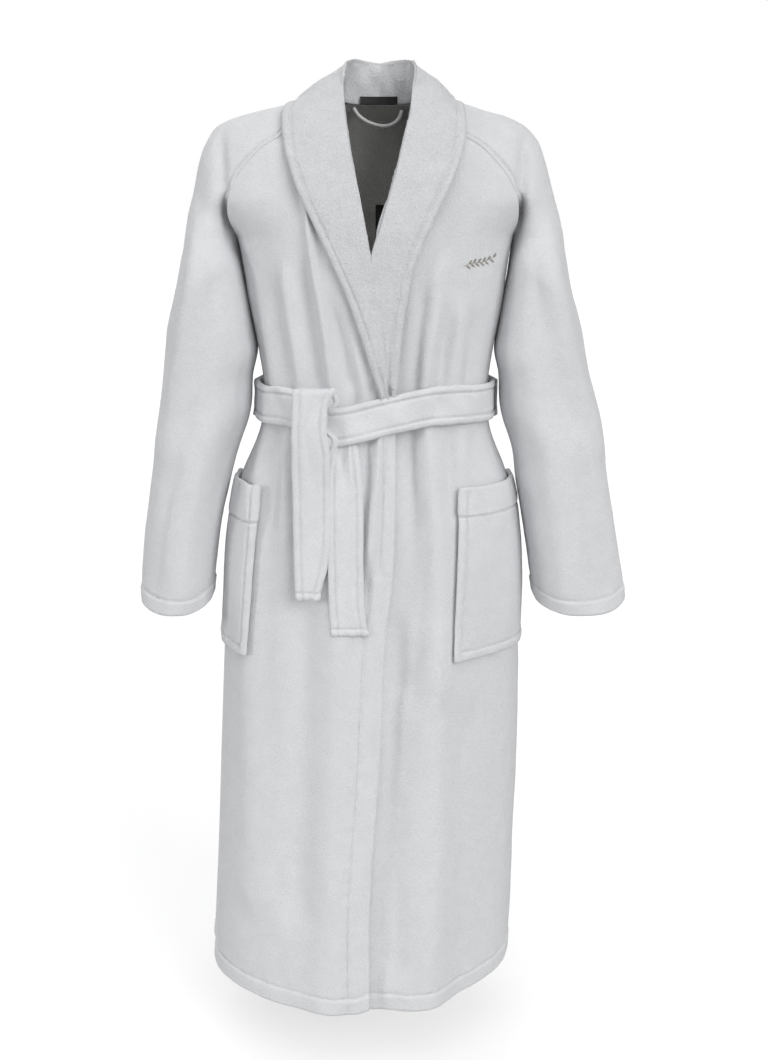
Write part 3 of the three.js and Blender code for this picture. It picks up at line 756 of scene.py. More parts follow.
def front_cloth(name, left_angle, right_angle, wide, edge_zones, edge_on_right, stand):
    """A front from the raglan seam to the hem. Stand gives its place in or out of the body's face."""
    z, angle = panel_grid(FRONT_NECK_LEVEL, left_angle, right_angle, wide, edge_zones)
    x = body_point(z, angle)[..., 0]
    points = body_point(z, angle, stand(x, z))
    points[..., 2] = hem_curve(z, angle)
    across = run_lengths(points, 1)
    from_right = across[:, -1:] - across
    inward, from_seam = (from_right, across) if edge_on_right else (across, from_right)
    points[..., 2] += 5 * (1 - smooth(inward / 12)) * smooth((-1100 - z) / 50)
    hem_above = run_lengths(points[::-1], 0)[::-1]
    relief = front_relief(x, z) + soft_surface(points)
    relief = relief * smooth(from_seam / 26)
    relief += hem_relief(hem_above) + pucker(points, hem_above, HEM_WIDTH)
    relief += front_edge_relief(points, z, inward)
    points, normals, faces = shaped(points, relief)
    stitches = front_stitches(points, normals, z, inward, hem_above)
    double = smooth(np.maximum(HEM_WIDTH - hem_above, WIDE_HEM - inward) / 4)
    thickness = CLOTH + 2.2 * double
    return cloth_piece(name, points, faces, thickness, [outer_cloth, white_thread], stitches)


def front_stitches(points, normals, z, inward, hem_above):
    """Stitching down the front edge, across the end of the facing, and along the hem."""
    stitches = []
    for low, high, width in ((FACING_END, 0, NARROW_HEM), (HEM_LEVEL - 1, FACING_END, WIDE_HEM)):
        keep = (z[:, 0] > low) & (z[:, 0] <= high)
        stitches.append(stitches_where(points[keep], normals[keep], inward[keep], width))
    level = np.argmin(np.abs(z[:, 0] - FACING_END))
    near_edge = [column for column in np.argsort(inward[level]) if inward[level, column] < WIDE_HEM]
    stitches.append(stitch_line(points[level, near_edge], normals[level, near_edge]))
    stitches.append(stitches_where(points, normals, hem_above, HEM_WIDTH, down_columns=True))
    return stitches


def upper_edge_angle(z):
    """Plan angle of the upper front's free edge."""
    return FULL_TURN + angle_at(z, at(UPPER_EDGE_STATIONS, z), -1)


def lower_edge_angle(z):
    """Plan angle of the under front's free edge, hidden behind the upper front."""
    return angle_at(z, at(LOWER_EDGE_STATIONS, z), -1)


def lapped_in(x, z):
    """The under front lies in behind the upper one, and comes out to the body's face beyond it."""
    beyond = x - at(UPPER_EDGE_STATIONS, z) - LAP_OVERHANG
    return -LAP_STEP * (1 - smooth(beyond / LAP_EASE))


right_front = front_cloth(
    "right_front_cloth",
    lambda z: FULL_TURN + seam_angle(z, -1, -1),
    upper_edge_angle,
    250,
    [(0, 12), (216, 250)],
    True,
    lambda x, z: 0.0 * x,
)
left_front = front_cloth(
    "left_front_cloth",
    lower_edge_angle,
    lambda z: seam_angle(z, 1, -1),
    310,
    [(0, 34), (298, 310)],
    False,
    lapped_in,
)
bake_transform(right_front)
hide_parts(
    "right_front_panel", "right_front_flap", "right_front_band", "right_flap_band"
)
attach(left_front, "robe")
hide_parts("left_front_panel", "left_front_band")


# ---- sleeves ----
# Each sleeve is one piece of towelling, sewn to back and front along the slanting raglan seams and
# closed by a seam under the arm. A line of topstitching runs beside each raglan seam, and the cuff
# is turned in and stitched.
# height, half width
SHOULDER_STATIONS = np.array([
    (-200, 249),
    (-165, 243),
    (-116, 232),
    (-70, 220),
    (-44, 209),
    (-26, 192),
    (-15, 165),
    (-9, 138),
    (0, 104),
    (6, 84),
], float)
# height, outer x, inner x, middle y, half depth
CUFF_LEVEL = -634
SLEEVE_TOP = -178
RIGHT_SLEEVE_STATIONS = np.array([
    (CUFF_LEVEL, -311, -216, -26, 70),
    (-560, -303, -208, -26, 72),
    (-485, -291, -192, -22, 75),
    (-440, -284, -180, -18, 77),
    (-390, -277, -163, -14, 79),
    (-345, -272, -160, -11, 82),
    (-312, -268, -153, -9, 85),
    (-285, -265, -156, -7, 87),
    (-220, -255, -167, -2, 91),
    (SLEEVE_TOP, -247, -175, 0, 93),
], float)
LEFT_SLEEVE_STATIONS = np.array([
    (CUFF_LEVEL, 336, 214, -26, 70),
    (-560, 321, 204, -26, 72),
    (-485, 308, 190, -22, 75),
    (-440, 301, 184, -18, 77),
    (-390, 292, 168, -14, 79),
    (-345, 280, 165, -11, 82),
    (-312, 273, 159, -9, 85),
    (-285, 268, 162, -7, 87),
    (-220, 254, 173, -2, 91),
    (SLEEVE_TOP, 245, 179, 0, 93),
], float)
CUFF_DIP = 14
CUFF_DIP_TOP = -478
CUFF_HEM = 18
SLEEVE_ROUND = 300
# height, then z, distance round the arm from the front seam, and half width
SLEEVE_FOLDS = [
    (-4.0, [(-190, 58, 12), (-300, 78, 16), (-430, 96, 20)]),
    (3.5, [(-170, 86, 12), (-300, 104, 16), (-450, 124, 20)]),
    (3.0, [(-380, 66, 14), (-520, 62, 16), (-634, 60, 16)]),
    (-3.5, [(-430, 94, 14), (-540, 100, 17), (-634, 100, 18)]),
    (2.5, [(-250, 146, 18), (-634, 138, 22)]),
    (-3.0, [(-260, 178, 16), (-634, 172, 18)]),
    (3.0, [(-180, 216, 14), (-470, 206, 18)]),
    (-3.5, [(-200, 246, 12), (-420, 236, 16)]),
    (3.0, [(-430, 240, 16), (-634, 232, 18)]),
    (-2.5, [(-330, 26, 12), (-520, 30, 14)]),
]
# the crease where the sleeve's cloth turns under the arm: height, then z, distance from the centre
# line and half width
ARM_CREASES = [
    (-6.0, [(-40, 190, 6), (-98, 188, 7), (-150, 181, 8), (-190, 176, 8)]),
    (3.0, [(-46, 206, 11), (-98, 205, 12), (-170, 200, 12)]),
]


def sleeve_rows(z, across, side, stations):
    """A sleeve's cloth: round the shoulder between the raglan seams, easing into the arm's tube."""
    middle = at(BODY_STATIONS, z, 1)
    half_width, seam = at(SHOULDER_STATIONS, z), at(RAGLAN_STATIONS, z)
    reach = np.arccos(np.clip(seam / half_width, 0, 1) ** (SQUARENESS / 2))

    def round_shoulder(swing):
        return body_point(z, swing if side > 0 else math.pi - swing, 0, half_width)

    shoulder = round_shoulder(mix(-reach, reach, across))
    end = np.where(across < 0.5, -1, 1)
    on_panel = body_point(z, angle_at(z, middle + side * seam, end))
    near_seam = 1 - smooth(np.minimum(across, 1 - across) / 0.3)
    shoulder[..., 1] += (on_panel - round_shoulder(end * reach))[..., 1] * near_seam
    c, s = outline(mix(-math.pi, math.pi, across))
    outer, inner = at(stations, z, 1), at(stations, z, 2)
    low = smooth((CUFF_DIP_TOP - z) / (CUFF_DIP_TOP - CUFF_LEVEL))
    dip = CUFF_DIP * low * np.maximum(0, -np.sin(mix(-math.pi, math.pi, across)))
    x = (outer + inner) / 2 + c * (outer - inner) / 2
    y = at(stations, z, 3) + s * at(stations, z, 4)
    tube = np.stack([x, y, z - dip], axis=-1)
    ease = 62 + 85 * np.sin(math.pi * across)
    return mix(shoulder, tube, smooth((-104 - z) / ease)[..., None])


def sleeve_cloth(name, side, stations):
    """One sleeve: open along the raglan seams, and joined under the arm below them."""
    top, wide = NECK_SEAM_LEVEL - 1, SLEEVE_ROUND
    deep = top - CUFF_LEVEL
    levels = top - graded(deep, 3.6, 1.6, [(0, 6), (160, 172), (deep - 28, deep)])
    shares = graded(wide, 3.2, 1.4, [(0, 12), (wide - 12, wide)]) / wide
    z = np.repeat(levels[:, None], len(shares), axis=1)
    across = np.repeat(shares[None], len(levels), axis=0)
    points = sleeve_rows(z, across, side, stations)
    numbers = grid_numbers(*z.shape)
    joined = levels <= UNDERARM_LEVEL
    numbers[joined, -1] = numbers[joined, 0]
    points[joined, -1] = points[joined, 0]
    if side < 0:
        z, across, points, numbers = (grid[:, ::-1] for grid in (z, across, points, numbers))
    numbers = np.unique(numbers, return_inverse=True)[1].reshape(z.shape)
    run = run_lengths(points, 1)
    from_seam = np.minimum(run, run[:, -1:] - run)
    above_cuff = run_lengths(points[::-1], 0)[::-1]
    open_here = smooth((z - UNDERARM_LEVEL) / 10)
    relief = 1.5 * fold_relief(across * SLEEVE_ROUND, z, SLEEVE_FOLDS) + soft_surface(points)
    relief = relief * mix(1, smooth(from_seam / 26), open_here)
    relief += fold_relief(np.abs(points[..., 0]), z, ARM_CREASES) * smooth(-points[..., 1] / 30)
    proud = 1.3 * (1 - smooth((above_cuff - CUFF_HEM + 3) / 3))
    relief += proud + groove(above_cuff, CUFF_HEM) + pucker(points, above_cuff, CUFF_HEM)
    relief += groove(from_seam, SEAM_TOPSTITCH, 2.3, 2.0) * open_here
    relief += 1.7 * np.exp(-((from_seam / 4.5) ** 2)) * open_here
    points, normals, faces = shaped(points, relief, numbers)
    sewn = [grid[~joined] for grid in (points, normals, run, run[:, -1:] - run)]
    stitches = [stitches_where(*sewn[:2], from_end, SEAM_TOPSTITCH) for from_end in sewn[2:]]
    stitches.append(stitches_where(points, normals, above_cuff, CUFF_HEM, down_columns=True))
    thickness = flattened(CLOTH + 2.0 * smooth((CUFF_HEM - above_cuff) / 4), numbers)
    return cloth_piece(
        name, flattened(points, numbers), faces, thickness, [outer_cloth, white_thread], stitches
    )


for name, side, stations in (
    ("right_sleeve", -1, RIGHT_SLEEVE_STATIONS),
    ("left_sleeve", 1, LEFT_SLEEVE_STATIONS),
):
    sleeve = sleeve_cloth(name + "_cloth", side, stations)
    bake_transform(sleeve)
    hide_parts(name, name + "_head")


# ---- collar ----
# A shawl collar of two layers of looped towelling, cut in two halves joined at centre back. It
# stands up round the neck, rolls over, and falls flat on the fronts down to the belt. The outer
# edge is stitched.
COLLAR_THICKNESS = 6.5
ROLL_THICKNESS = 2.5
ROLL_RADIUS = 7
CROWN = 2
NECK_FULLNESS = 12
COLLAR_STITCH = 9
# from centre back round to the belt: neck seam, top of the roll, outer edge
RIGHT_COLLAR = (
    [(8, 68, 2), (-28, 58.5, 3), (-46, 34, 7), (-50, 4, 10), (-44, -22, 4), (-36, -48, -20),
     (-26, -83, -74), (-15, -103, -130), (-3, -111, -192), (8, -115, -262), (16, -117, -350),
     (18, -117, -366)],
    [(8, 78, 54), (-13, 70, 57), (-29, 44, 56), (-36, 9, 43), (-37, -24, 18), (-33, -58, -18),
     (-24, -92, -72), (-13, -112, -128), (-1, -120, -192), (10, -124, -262), (18, -126, -350),
     (20, -123, -366)],
    [(8, 118, -30), (-45, 114, -28), (-84, 100, -20), (-103, 56, -4), (-107, 8, 1), (-109, -42, -13),
     (-107, -80, -48), (-90, -108, -104), (-60, -119, -168), (-26, -124, -245), (7, -125, -350),
     (11, -122, -366)],
)
LEFT_COLLAR = (
    [(8, 68, 2), (42, 58.5, 3), (60, 34, 7), (63, 4, 10), (56, -22, 4), (47, -47, -18),
     (36, -75, -62), (21, -95, -114), (9, -101, -150), (2, -106, -192), (8, -108, -262),
     (15, -110, -346), (16, -110, -366)],
    [(8, 78, 54), (30, 70, 57), (48, 44, 55.5), (53, 9, 44), (50, -24, 22), (45, -56, -14),
     (34, -84, -60), (20, -104, -112), (9, -111, -150), (-3, -113, -192), (5, -115, -262),
     (14, -118, -346), (15, -117, -366)],
    [(8, 118, -30), (60, 114, -28), (98, 100, -20), (110, 56, -6), (113, 8, 0), (112, -42, -17),
     (110, -80, -52), (90, -109, -104), (72, -117, -142), (50, -122, -195), (36, -124, -262),
     (27, -124, -346), (26, -121, -366)],
)


def outside_body(points):
    """How far points stand outside the body cloth, and the way out of it."""

    def value(p):
        z = p[..., 2]
        across = np.abs(p[..., 0] - at(BODY_STATIONS, z, 1)) / at(BODY_STATIONS, z, 2)
        front, rear = at(BODY_STATIONS, z, 3), at(BODY_STATIONS, z, 4)
        through = np.abs(p[..., 1]) / np.where(p[..., 1] < 0, front, rear)
        return across**SQUARENESS + through**SQUARENESS - 1

    steps = np.eye(3) * 0.5
    slope = np.stack([value(points + step) - value(points - step) for step in steps], axis=-1)
    return value(points) / np.linalg.norm(slope, axis=-1), unit(slope)


def kept_off(points, clearance):
    """Points moved out until they stand at least the clearance off the body cloth."""
    for _ in range(4):
        distance, out = outside_body(points)
        short = np.clip(clearance - distance, 0, None) * smooth((6 - points[..., 2]) / 50)
        points = points + out * short[..., None]
    return points


def collar_half(name, lines, edge_on_left):
    """One half of the collar, from centre back to the belt."""
    long, wide = 640, 150
    along = graded(long, 3.6, 1.8, [(0, 8)]) / long
    share = graded(wide, 2.6, 1.3, [(wide - 20, wide)]) / wide
    seam, roll, edge = (curve_through(line, along) for line in lines)
    rise = unit(roll - seam)
    fall = edge - roll
    out = unit(fall - (fall * rise).sum(axis=-1)[:, None] * rise)
    inside = roll - rise * ROLL_RADIUS
    outside = roll + out * ROLL_RADIUS - rise * CROWN
    fullness = CROWN + NECK_FULLNESS * smooth((roll[:, 2:] + 20) / 60)
    crown = (outside + edge) / 2 + rise * fullness
    points = curve_through([seam, inside, roll, outside, crown, edge], share).transpose(1, 0, 2)
    over = smooth((share - 0.3) / 0.2)[None]
    ridges = np.clip(fold_relief(points[..., 0], points[..., 2], FRONT_FOLDS), 0, None)
    on_front = points[..., 1] < 0
    clearance = COLLAR_THICKNESS + 2 + 0.6 * FOLD_STRENGTH * ridges * on_front
    clearance = clearance * (1 - 0.45 * smooth((-338 - points[..., 2]) / 18))
    points = kept_off(points, clearance * over)
    run = run_lengths(points, 1)
    inward = run[:, -1:] - run
    stitch_at = np.minimum(COLLAR_STITCH, 0.45 * run[:, -1:])
    height = np.linalg.norm(roll - seam, axis=-1)[:, None]
    inside_neck = (smooth(share / 0.12) - smooth((share - 0.12) / 0.18))[None] * smooth(height / 40 - 0.2)
    crumple = relief_waves(points, 26, 31, (1.3, 1.3, 0.3)) * inside_neck
    relief = 0.5 * relief_waves(points, 45, 32) + 4.0 * crumple + 0.25 * relief_waves(points, 9, 33)
    relief += groove(inward, stitch_at, 1.8, 2.2) + pucker(points, inward, stitch_at, 7)
    relief += 0.6 * np.exp(-(((inward - 3) / 4) ** 2))
    if edge_on_left:
        points, relief, inward = (grid[:, ::-1] for grid in (points, relief, inward))
    points, normals, faces = shaped(points, relief)
    stitches = [stitches_where(points, normals, inward, COLLAR_STITCH)]
    thickness = mix(ROLL_THICKNESS, COLLAR_THICKNESS, smooth((share - 0.45) / 0.25))
    if edge_on_left:
        thickness = thickness[::-1]
    thickness = thickness[None] * (1 - 0.5 * smooth((-340 - points[..., 2]) / 16))
    return cloth_piece(name, points, faces, thickness, [looped_cloth, white_thread], stitches)


looped_cloth = towelling("looped_towelling", (0.755, 0.76, 0.77), (0.61, 0.615, 0.63), 330, 0.0016)
for name, lines, edge_on_left in (
    ("right_collar", RIGHT_COLLAR, True),
    ("left_collar", LEFT_COLLAR, False),
):
    collar = collar_half(name + "_cloth", lines, edge_on_left)
    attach(collar, "robe")
    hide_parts(name)


# ---- pockets ----
# Two deep patch pockets of the same towelling, one on each side. The edges are turned in and sewn
# down at the sides and the bottom; the open top has a wide hem, and the pocket stands a little full.
POCKET_TOP = -478
POCKET_BOTTOM = -697
POCKET_FULLNESS = 5
POCKET_EDGE = 9
POCKET_SIDE_ANGLE = 0.1


def pocket_cloth(name, top_x, bottom_x, top_hem, side):
    """A patch pocket from its front edge, at top_x and bottom_x, to near the side seam."""
    deep, wide = POCKET_TOP - POCKET_BOTTOM, 130
    levels = graded(deep, 3.0, 1.3, [(0, 8), (top_hem - 5, top_hem + 5), (deep - 16, deep)])
    shares = graded(wide, 2.6, 1.2, [(0, 16), (wide - 16, wide)]) / wide
    z = np.repeat(POCKET_TOP - levels[:, None], len(shares), axis=1)
    front = angle_at(z, mix(top_x, bottom_x, (POCKET_TOP - z) / deep), -1)
    if side < 0:
        angle = mix(math.pi - POCKET_SIDE_ANGLE, FULL_TURN + front, shares[None])
    else:
        angle = mix(front, POCKET_SIDE_ANGLE, shares[None])
    down = levels[:, None] / deep
    x = body_point(z, angle)[..., 0]
    from_front = shares[None] if side > 0 else 1 - shares[None]
    fullness = POCKET_FULLNESS * np.sin(math.pi * from_front**0.75) ** 0.7 * (1 - down**3)
    proud = 2.5 * (1 - smooth(from_front / 0.5))
    under = front_relief(x, z) * smooth((1 - from_front) / 0.3)
    points = body_point(z, angle, CLOTH + under + fullness + proud)
    across, above = run_lengths(points, 1), run_lengths(points[::-1], 0)[::-1]
    from_side = np.minimum(across, across[:, -1:] - across)
    below = run_lengths(points, 0)
    inward = np.minimum(from_side, above)
    relief = soft_surface(points) + 1.2 * relief_waves(points, 60, 41)
    relief += 1.6 * (1 - smooth((inward - POCKET_EDGE + 2) / 3)) + groove(inward, POCKET_EDGE, 1.7, 1.9)
    relief += 1.4 * (1 - smooth((below - top_hem + 3) / 3)) + groove(below, top_hem, 1.6, 1.9)
    relief += pucker(points, inward, POCKET_EDGE) + pucker(points, below, top_hem)
    points, normals, faces = shaped(points, relief)
    stitches = [
        stitches_where(points, normals, across, POCKET_EDGE),
        stitches_where(points, normals, across[:, -1:] - across, POCKET_EDGE),
        stitches_where(points, normals, below, top_hem, down_columns=True),
        stitches_where(points, normals, above, POCKET_EDGE, down_columns=True),
    ]
    thickness = CLOTH + 2 * smooth((top_hem - below) / 4)
    return cloth_piece(name, points, faces, thickness, [outer_cloth, white_thread], stitches)


for name, top_x, bottom_x, top_hem, side, front, flat_width in (
    ("right_pocket", -140, -158, 47, -1, right_front, 0.14),
    ("left_pocket", 109, 100, 35, 1, left_front, 0.17),
):
    pocket = pocket_cloth(name + "_cloth", top_x, bottom_x, top_hem, side)
    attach(pocket, "robe")
    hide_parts(name)


# ---- belt ----
# A long strip of doubled towelling, stitched beside both edges. It goes round the waist through
# the carriers and is tied in front: one end folds down over the knot, the other hangs under it.
BELT_WIDTH = 43
BELT_STAND = 10
BELT_THICKNESS = 7
BELT_LEVEL = -374
BELT_SEAM = 6.5
WAIST_LEVEL = -370
BELT_FRONT_STATIONS = np.array(
    [(-150, -380), (-100, -375), (-52, -396), (20, -381), (75, -371), (155, -374)], float
)
BAND_START = -63
BAND_END = -91
HANGING_X = -60
# height, x of each edge of the knot and of the two hanging ends
KNOT_LEFT_EDGE = np.array([(-450, -92), (-350, -92)], float)
KNOT_RIGHT_EDGE = np.array(
    [(-450, -58), (-430, -52), (-411, -46), (-397, -60), (-380, -57), (-367, -44), (-350, -50)], float
)
OVER_LEFT_EDGE = np.array([(-620, -96), (-560, -98), (-409, -99), (-346, -97)], float)
OVER_RIGHT_EDGE = np.array([
    (-620, -73), (-600, -68), (-570, -60), (-540, -57), (-430, -56), (-400, -60), (-366, -58),
    (-346, -48),
], float)
UNDER_LEFT_EDGE = np.array(
    [(-670, -51), (-610, -54), (-480, -55), (-447, -55), (-411, -48), (-400, -50)], float
)
UNDER_RIGHT_EDGE = np.array(
    [(-670, -8), (-616, -14), (-480, -15), (-440, -18), (-411, -22), (-400, -24)], float
)
# stand off the body and height, along the knot and each hanging end from its start
KNOT_SIDE_VIEW = [(9, -350), (8, -367), (12, -385), (16, -400), (16, -415), (13, -432), (9, -450)]
OVER_SIDE_VIEW = [
    (16, -364), (17, -352), (22, -346.5), (27.5, -350), (29, -364), (28, -400), (23, -436),
    (15, -478), (12, -530), (12, -580), (13, -611),
]
UNDER_SIDE_VIEW = [(5, -402), (8, -415), (12, -432), (13, -470), (11.5, -560), (11.5, -620), (12, -658)]
OVER_FOLDS = [
    (2.2, [(-350, -84, 6), (-420, -82, 7), (-560, -86, 8)]),
    (-2.4, [(-352, -68, 4), (-400, -84, 4), (-470, -76, 6)]),
    (1.5, [(-380, -72, 4), (-430, -70, 4)]),
]
UNDER_FOLDS = [
    (-4.0, [(-404, -38, 5), (-430, -40, 6), (-470, -38, 7)]),
    (3.0, [(-402, -28, 3), (-440, -28, 4), (-480, -27, 5)]),
    (-2.0, [(-500, -34, 8), (-640, -36, 9)]),
    (2.0, [(-600, -26, 7), (-659, -24, 7)]),
]
belt_cloth = towelling("belt_towelling", (0.82, 0.825, 0.84), (0.72, 0.725, 0.74), 420, 0.0011)


def doubled_strip(points, from_edge, from_end, folds, end_seam=True):
    """A strip of doubled towelling with padded, stitched edges, from a grid of its outer face."""
    relief = 0.9 * relief_waves(points, 40, 51) + soft_surface(points) * 0.7 + folds
    relief += groove(from_edge, BELT_SEAM, 1.7, 1.8) + 0.8 * np.exp(-(((from_edge - 3) / 2.4) ** 2))
    relief += pucker(points, from_edge, BELT_SEAM, 6) * 0.8
    if end_seam:
        ragged = 1.2 * relief_waves(points, 9, 55) * (1 - smooth(from_end / 10))
        relief += groove(from_end, BELT_SEAM, 1.5, 1.8) + ragged
    return shaped(points, relief)


def hanging_strip(name, side_view, left_edge, right_edge, folds, length, end_seam=True):
    """A strip that runs down in front of the body, from a side view and the x of its two edges."""
    places = graded(length, 3.0, 1.4, [(0, 30), (length - 14, length)])
    stand, z = curve_through(np.array(side_view, float), places / length).T
    shares = graded(BELT_WIDTH, 1.9, 1.0, [(0, 9), (BELT_WIDTH - 9, BELT_WIDTH)])[None] / BELT_WIDTH
    left, right = at(left_edge, z)[:, None], at(right_edge, z)[:, None]
    front = body_point(z, angle_at(z, HANGING_X, -1))[:, 1]
    x = mix(left, right, shares)
    y = np.broadcast_to((front - stand)[:, None], x.shape)
    points = np.stack([x, y, np.broadcast_to(z[:, None], x.shape)], axis=-1)
    across = x - left
    from_edge = np.minimum(across, right - x)
    from_end = run_lengths(points[::-1], 0)[::-1]
    folded = fold_relief(x, points[..., 2], folds)
    points, normals, faces = doubled_strip(points, from_edge, from_end, folded, end_seam)
    thickness = mix(3.0, BELT_THICKNESS, smooth(places / 40))[:, None] + 0 * across
    stitches = [stitches_where(points, normals, run, BELT_SEAM) for run in (across, right - x)]
    return cloth_piece(name, points, faces, thickness, [belt_cloth, white_thread], stitches)


def belt_middle(angle):
    """Height of the middle of the belt at a plan angle: level at the sides and back."""
    front = at(BELT_FRONT_STATIONS, body_point(WAIST_LEVEL, angle)[..., 0])
    return mix(BELT_LEVEL, front, smooth(-np.sin(angle) * 1.4))


start = angle_at(WAIST_LEVEL, BAND_START, -1)
end = FULL_TURN + angle_at(WAIST_LEVEL, BAND_END, -1)
angle = np.linspace(start, end, 290)[None]
down = graded(BELT_WIDTH, 1.9, 1.0, [(0, 9), (BELT_WIDTH - 9, BELT_WIDTH)])[:, None]
x = body_point(WAIST_LEVEL, angle)[..., 0]
near_knot = (1 - smooth((x - BAND_START) / 18)) * (np.sin(angle) < 0) * (angle < math.pi)
z = belt_middle(angle) + BELT_WIDTH / 2 - down * (1 - 0.36 * near_knot) - 4 * near_knot
points = body_point(z, angle, BELT_STAND - 2.5 * near_knot)
from_edge = np.minimum(down, BELT_WIDTH - down) + 0 * angle
sag = 1.5 * np.sin(angle * 9 + down / 14) + 1.0 * np.sin(angle * 23 - down / 9)
sag = sag * smooth((math.cos(0.6) - np.abs(np.cos(angle))) / 0.2 + 0.5)
points, normals, faces = doubled_strip(points, from_edge, from_edge, sag, end_seam=False)
stitches = [
    stitches_where(points, normals, down, distance, down_columns=True)
    for distance in (BELT_SEAM, BELT_WIDTH - BELT_SEAM)
]
belt_band = cloth_piece(
    "belt_band", points, faces, BELT_THICKNESS, [belt_cloth, white_thread], stitches
)
belt_knot = hanging_strip(
    "belt_knot_wrap", KNOT_SIDE_VIEW, KNOT_LEFT_EDGE, KNOT_RIGHT_EDGE, [], 105, end_seam=False
)
over_end = hanging_strip(
    "belt_over_end", OVER_SIDE_VIEW, OVER_LEFT_EDGE, OVER_RIGHT_EDGE, OVER_FOLDS, 300
)
under_end = hanging_strip(
    "belt_under_end", UNDER_SIDE_VIEW, UNDER_LEFT_EDGE, UNDER_RIGHT_EDGE, UNDER_FOLDS, 260
)
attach(belt_band, "robe")
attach(belt_knot, "robe")
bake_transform(over_end)
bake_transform(under_end)
for piece, stands_for, length in (
    (belt_band, "belt_waistband", 0.88),
    (belt_knot, "belt_knot", 0.103),
    (over_end, "right_belt_tail", 0.298),
    (under_end, "left_belt_tail", 0.262),
):
    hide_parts(stands_for)


# ---- belt carriers ----
# A narrow cotton tape on each side seam, folded under and sewn down at both ends. It stands over
# the belt, which slides through it.
CARRIER_WIDTH = 12
CARRIER_THICKNESS = 2.2
CARRIER_TOP = -347
CARRIER_BOTTOM = -403
CARRIER_SEWN = 3.0
CARRIER_OVER_BELT = BELT_STAND + 2.6
WAIST_HALF_WIDTH = 148
carrier_tape = cotton_cord("carrier_tape", (0.82, 0.82, 0.83), 700)

for name, middle in (("right_belt_loop", math.pi), ("left_belt_loop", 0.0)):
    down = np.linspace(0, 1, 46)[:, None]
    share = np.linspace(-0.5, 0.5, 13)[None]
    stand = mix(CARRIER_SEWN, CARRIER_OVER_BELT, smooth(np.sin(math.pi * down) * 3))
    z = mix(CARRIER_TOP, CARRIER_BOTTOM, down) + 0 * share
    points = body_point(z, middle + share * CARRIER_WIDTH / WAIST_HALF_WIDTH, stand + 0 * share)
    stand_bump = 0.4 * np.cos(share * math.pi * 6) + 0.4 * relief_waves(points, 8, 61)
    points, normals, faces = shaped(points, stand_bump)
    stitches = [stitch_line(points[row], normals[row], 2.4) for row in (2, 4, -5, -3)]
    finishes = [carrier_tape, white_thread]
    carrier = cloth_piece(name + "_tape", points, faces, CARRIER_THICKNESS, finishes, stitches)
    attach(carrier, "robe")
    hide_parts(name)


# ---- labels ----
# Two plain black woven-satin labels inside the back: a narrow strip on the neck seam above the
# hanging loop, and a larger one lower down. Each is sewn on along its ends, and both are blank.
LABEL_THICKNESS = 0.9
LABEL_GAP = 2.6


def satin(name, color):
    """Woven satin: fine ribs across the label, smooth enough to catch the light."""
    settings = {"Scale": 700, "Distortion": 0.6}
    ribbed = fibrous(name, color, 0.7, 1.5, "ShaderNodeTexWave", settings, 0.5, (0.3, 0.0002))
    ribbed.node_tree.nodes["Wave Texture"].bands_direction = "Z"
    return ribbed


label_satin = satin("black_satin", (0.012, 0.0115, 0.012))
label_thread = sewing_thread("black_thread", (0.02, 0.02, 0.02))


def label_cloth(name, points):
    """A label from a grid of its outer face, with a line of stitches near each end."""
    points, normals, faces = shaped(points, 0.25 * relief_waves(points, 18, 71, (1, 1, 1)))
    stitches = [stitch_line(points[row], normals[row], 2.6) for row in (1, -2)]
    finishes = [label_satin, label_thread]
    return cloth_piece(name, points, faces, LABEL_THICKNESS, finishes, stitches)


down, share = np.linspace(0, 1, 12)[:, None], np.linspace(0, 1, 40)[None]
x = mix(-17, 31, share) + 0 * down
z = mix(11, 1.5, down) + 0 * share
y = 64.5 - 0.0077 * (x - 8) ** 2
neck_label = label_cloth("neck_label_satin", np.stack([x, y, z], axis=-1))
down = np.linspace(0, 1, 44)[:, None]
z = mix(-128, -214, down) + 0 * share
x = mix(52, 3, share[:, ::-1]) + 0 * down
inset = CLOTH + LABEL_GAP - FOLD_STRENGTH * fold_relief(x, z, BACK_FOLDS)
points = body_point(z, angle_at(z, x, 1), -inset)
back_label = label_cloth("back_label_satin", points)
for label, stands_for, flat in (
    (neck_label, "neck_label", (0.048, 0.0105)),
    (back_label, "back_label", (0.049, 0.086)),
):
    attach(label, "robe")
    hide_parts(stands_for)


# ---- chest motif ----
# A small sprig in satin stitch on the left chest: a stem with leaves on both sides, worked in
# grey-beige thread through the cloth.
MOTIF_STEM = [(113, -199), (122, -196), (132, -195), (142, -193), (154, -188)]
LEAF_LENGTH = 6.5
LEAF_WIDTH = 2.6
LEAF_COUNT = 12
STITCH_SPACING = 0.5
motif_thread = sewing_thread("motif_thread", (0.42, 0.39, 0.35))


def on_cloth(places):
    """Points and outward directions on the left front at x and z places."""
    points, ups = [], []
    for x, z in places:
        _, spot, up, _ = left_front.ray_cast((x * MM, -0.3, z * MM), (0, 1, 0))
        points.append(np.array(spot) / MM)
        ups.append(np.array(up))
    return np.array(points), np.array(ups)


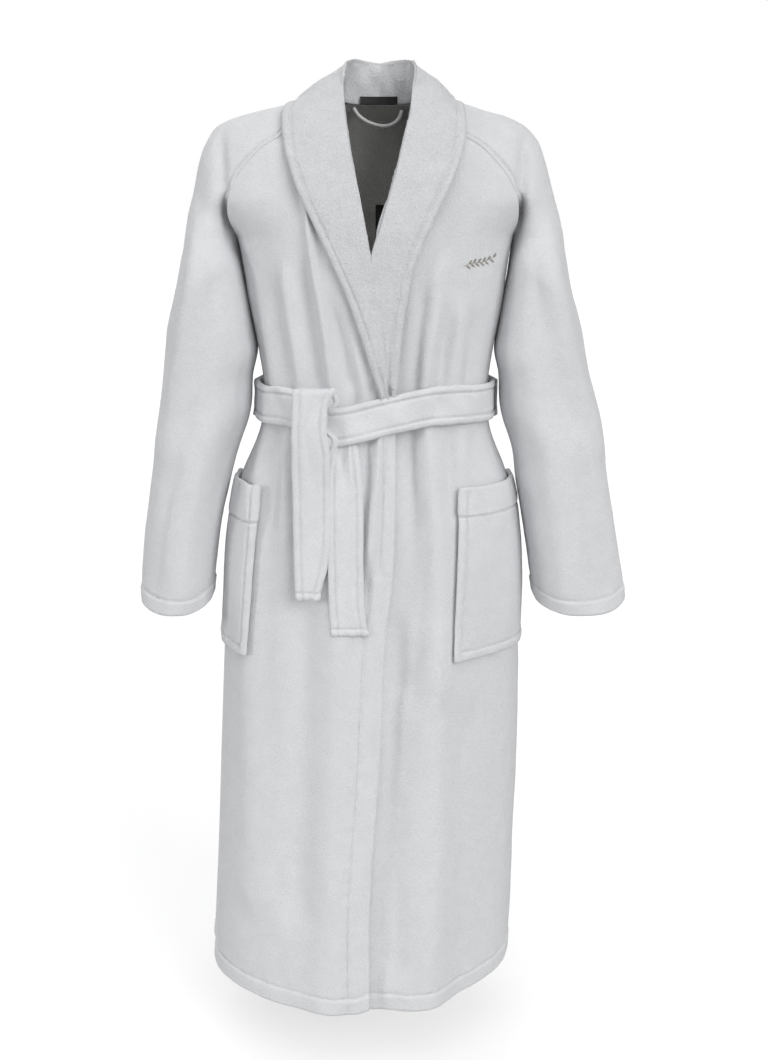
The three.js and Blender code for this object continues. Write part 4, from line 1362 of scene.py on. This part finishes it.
stem = curve_through(np.array(MOTIF_STEM, float), np.linspace(0, 1, 40))
starts, ends = [stem[:-1]], [mix(stem[:-1], stem[1:], 1.5)]
for leaf in range(LEAF_COUNT):
    root = curve_through(np.array(MOTIF_STEM, float), [(leaf + 1) / (LEAF_COUNT + 1)])[0]
    turn = math.radians(48 if leaf % 2 else -40)
    along = np.array([math.cos(turn), math.sin(turn)])
    out = np.array([-along[1], along[0]])
    places = np.arange(0.8, LEAF_LENGTH, STITCH_SPACING)[:, None]
    half = LEAF_WIDTH / 2 * np.sin(math.pi * places / (LEAF_LENGTH + 0.4)) ** 0.7
    middle = root + along * places
    starts.append(middle - out * half)
    ends.append(middle + out * half + along * 0.5)
starts, ups = on_cloth(np.concatenate(starts))
ends, _ = on_cloth(np.concatenate(ends))
motif_points, motif_faces = threads(starts + ups * 0.25, ends + ups * 0.25, ups, 0.34)
motif = new_mesh("chest_motif_stitches", motif_points, motif_faces.tolist(), [motif_thread])
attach(motif, "robe")
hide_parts("chest_motif")


# ---- floor and light ----
# A pale floor under the hem, white all round, and four soft lights: overhead, left, right and
# behind. The left one is the tightest, and gives the folds their shape.
FLOOR_LEVEL = -1.26
bpy.ops.mesh.primitive_plane_add(size=40, location=(0, 0, FLOOR_LEVEL))
floor = bpy.context.object
floor.name = "floor"
floor_paint, floor_shader = new_material("floor_paint")
floor_shader.inputs["Base Color"].default_value = (0.5, 0.5, 0.5, 1)
floor_shader.inputs["Roughness"].default_value = 0.9
floor_nodes, floor_links = floor_paint.node_tree.nodes, floor_paint.node_tree.links
seen_directly = floor_nodes.new("ShaderNodeLightPath").outputs["Is Camera Ray"]
floor_links.new(seen_directly, floor_shader.inputs["Emission Color"])
floor_shader.inputs["Emission Strength"].default_value = 0.6
floor.data.materials.append(floor_paint)

world = bpy.data.worlds.new("white_surround")
world.use_nodes = True
nodes, links = world.node_tree.nodes, world.node_tree.links
surround = nodes["Background"]
surround.inputs["Color"].default_value = (0.98, 0.99, 1, 1)
surround.inputs["Strength"].default_value = 0.32
seen = nodes.new("ShaderNodeBackground")
seen.inputs["Color"].default_value = (1, 1, 1, 1)
ray = nodes.new("ShaderNodeLightPath")
either = nodes.new("ShaderNodeMixShader")
links.new(ray.outputs["Is Camera Ray"], either.inputs[0])
links.new(surround.outputs[0], either.inputs[1])
links.new(seen.outputs[0], either.inputs[2])
links.new(either.outputs[0], nodes["World Output"].inputs["Surface"])
bpy.context.scene.world = world
bpy.context.scene.view_settings.view_transform = "Standard"

for name, turn, softness, power in (
    ("overhead_light", (28, 4, 0), 60, 0.78),
    ("left_light", (76, 0, -62), 16, 0.72),
    ("right_light", (68, 0, 36), 36, 1.3),
    ("back_light", (-62, 0, 18), 60, 1.1),
):
    light_data = bpy.data.lights.new(name, "SUN")
    light_data.energy = power
    light_data.angle = math.radians(softness)
    light = bpy.data.objects.new(name, light_data)
    light.rotation_euler = [math.radians(a) for a in turn]
    bpy.context.scene.collection.objects.link(light)
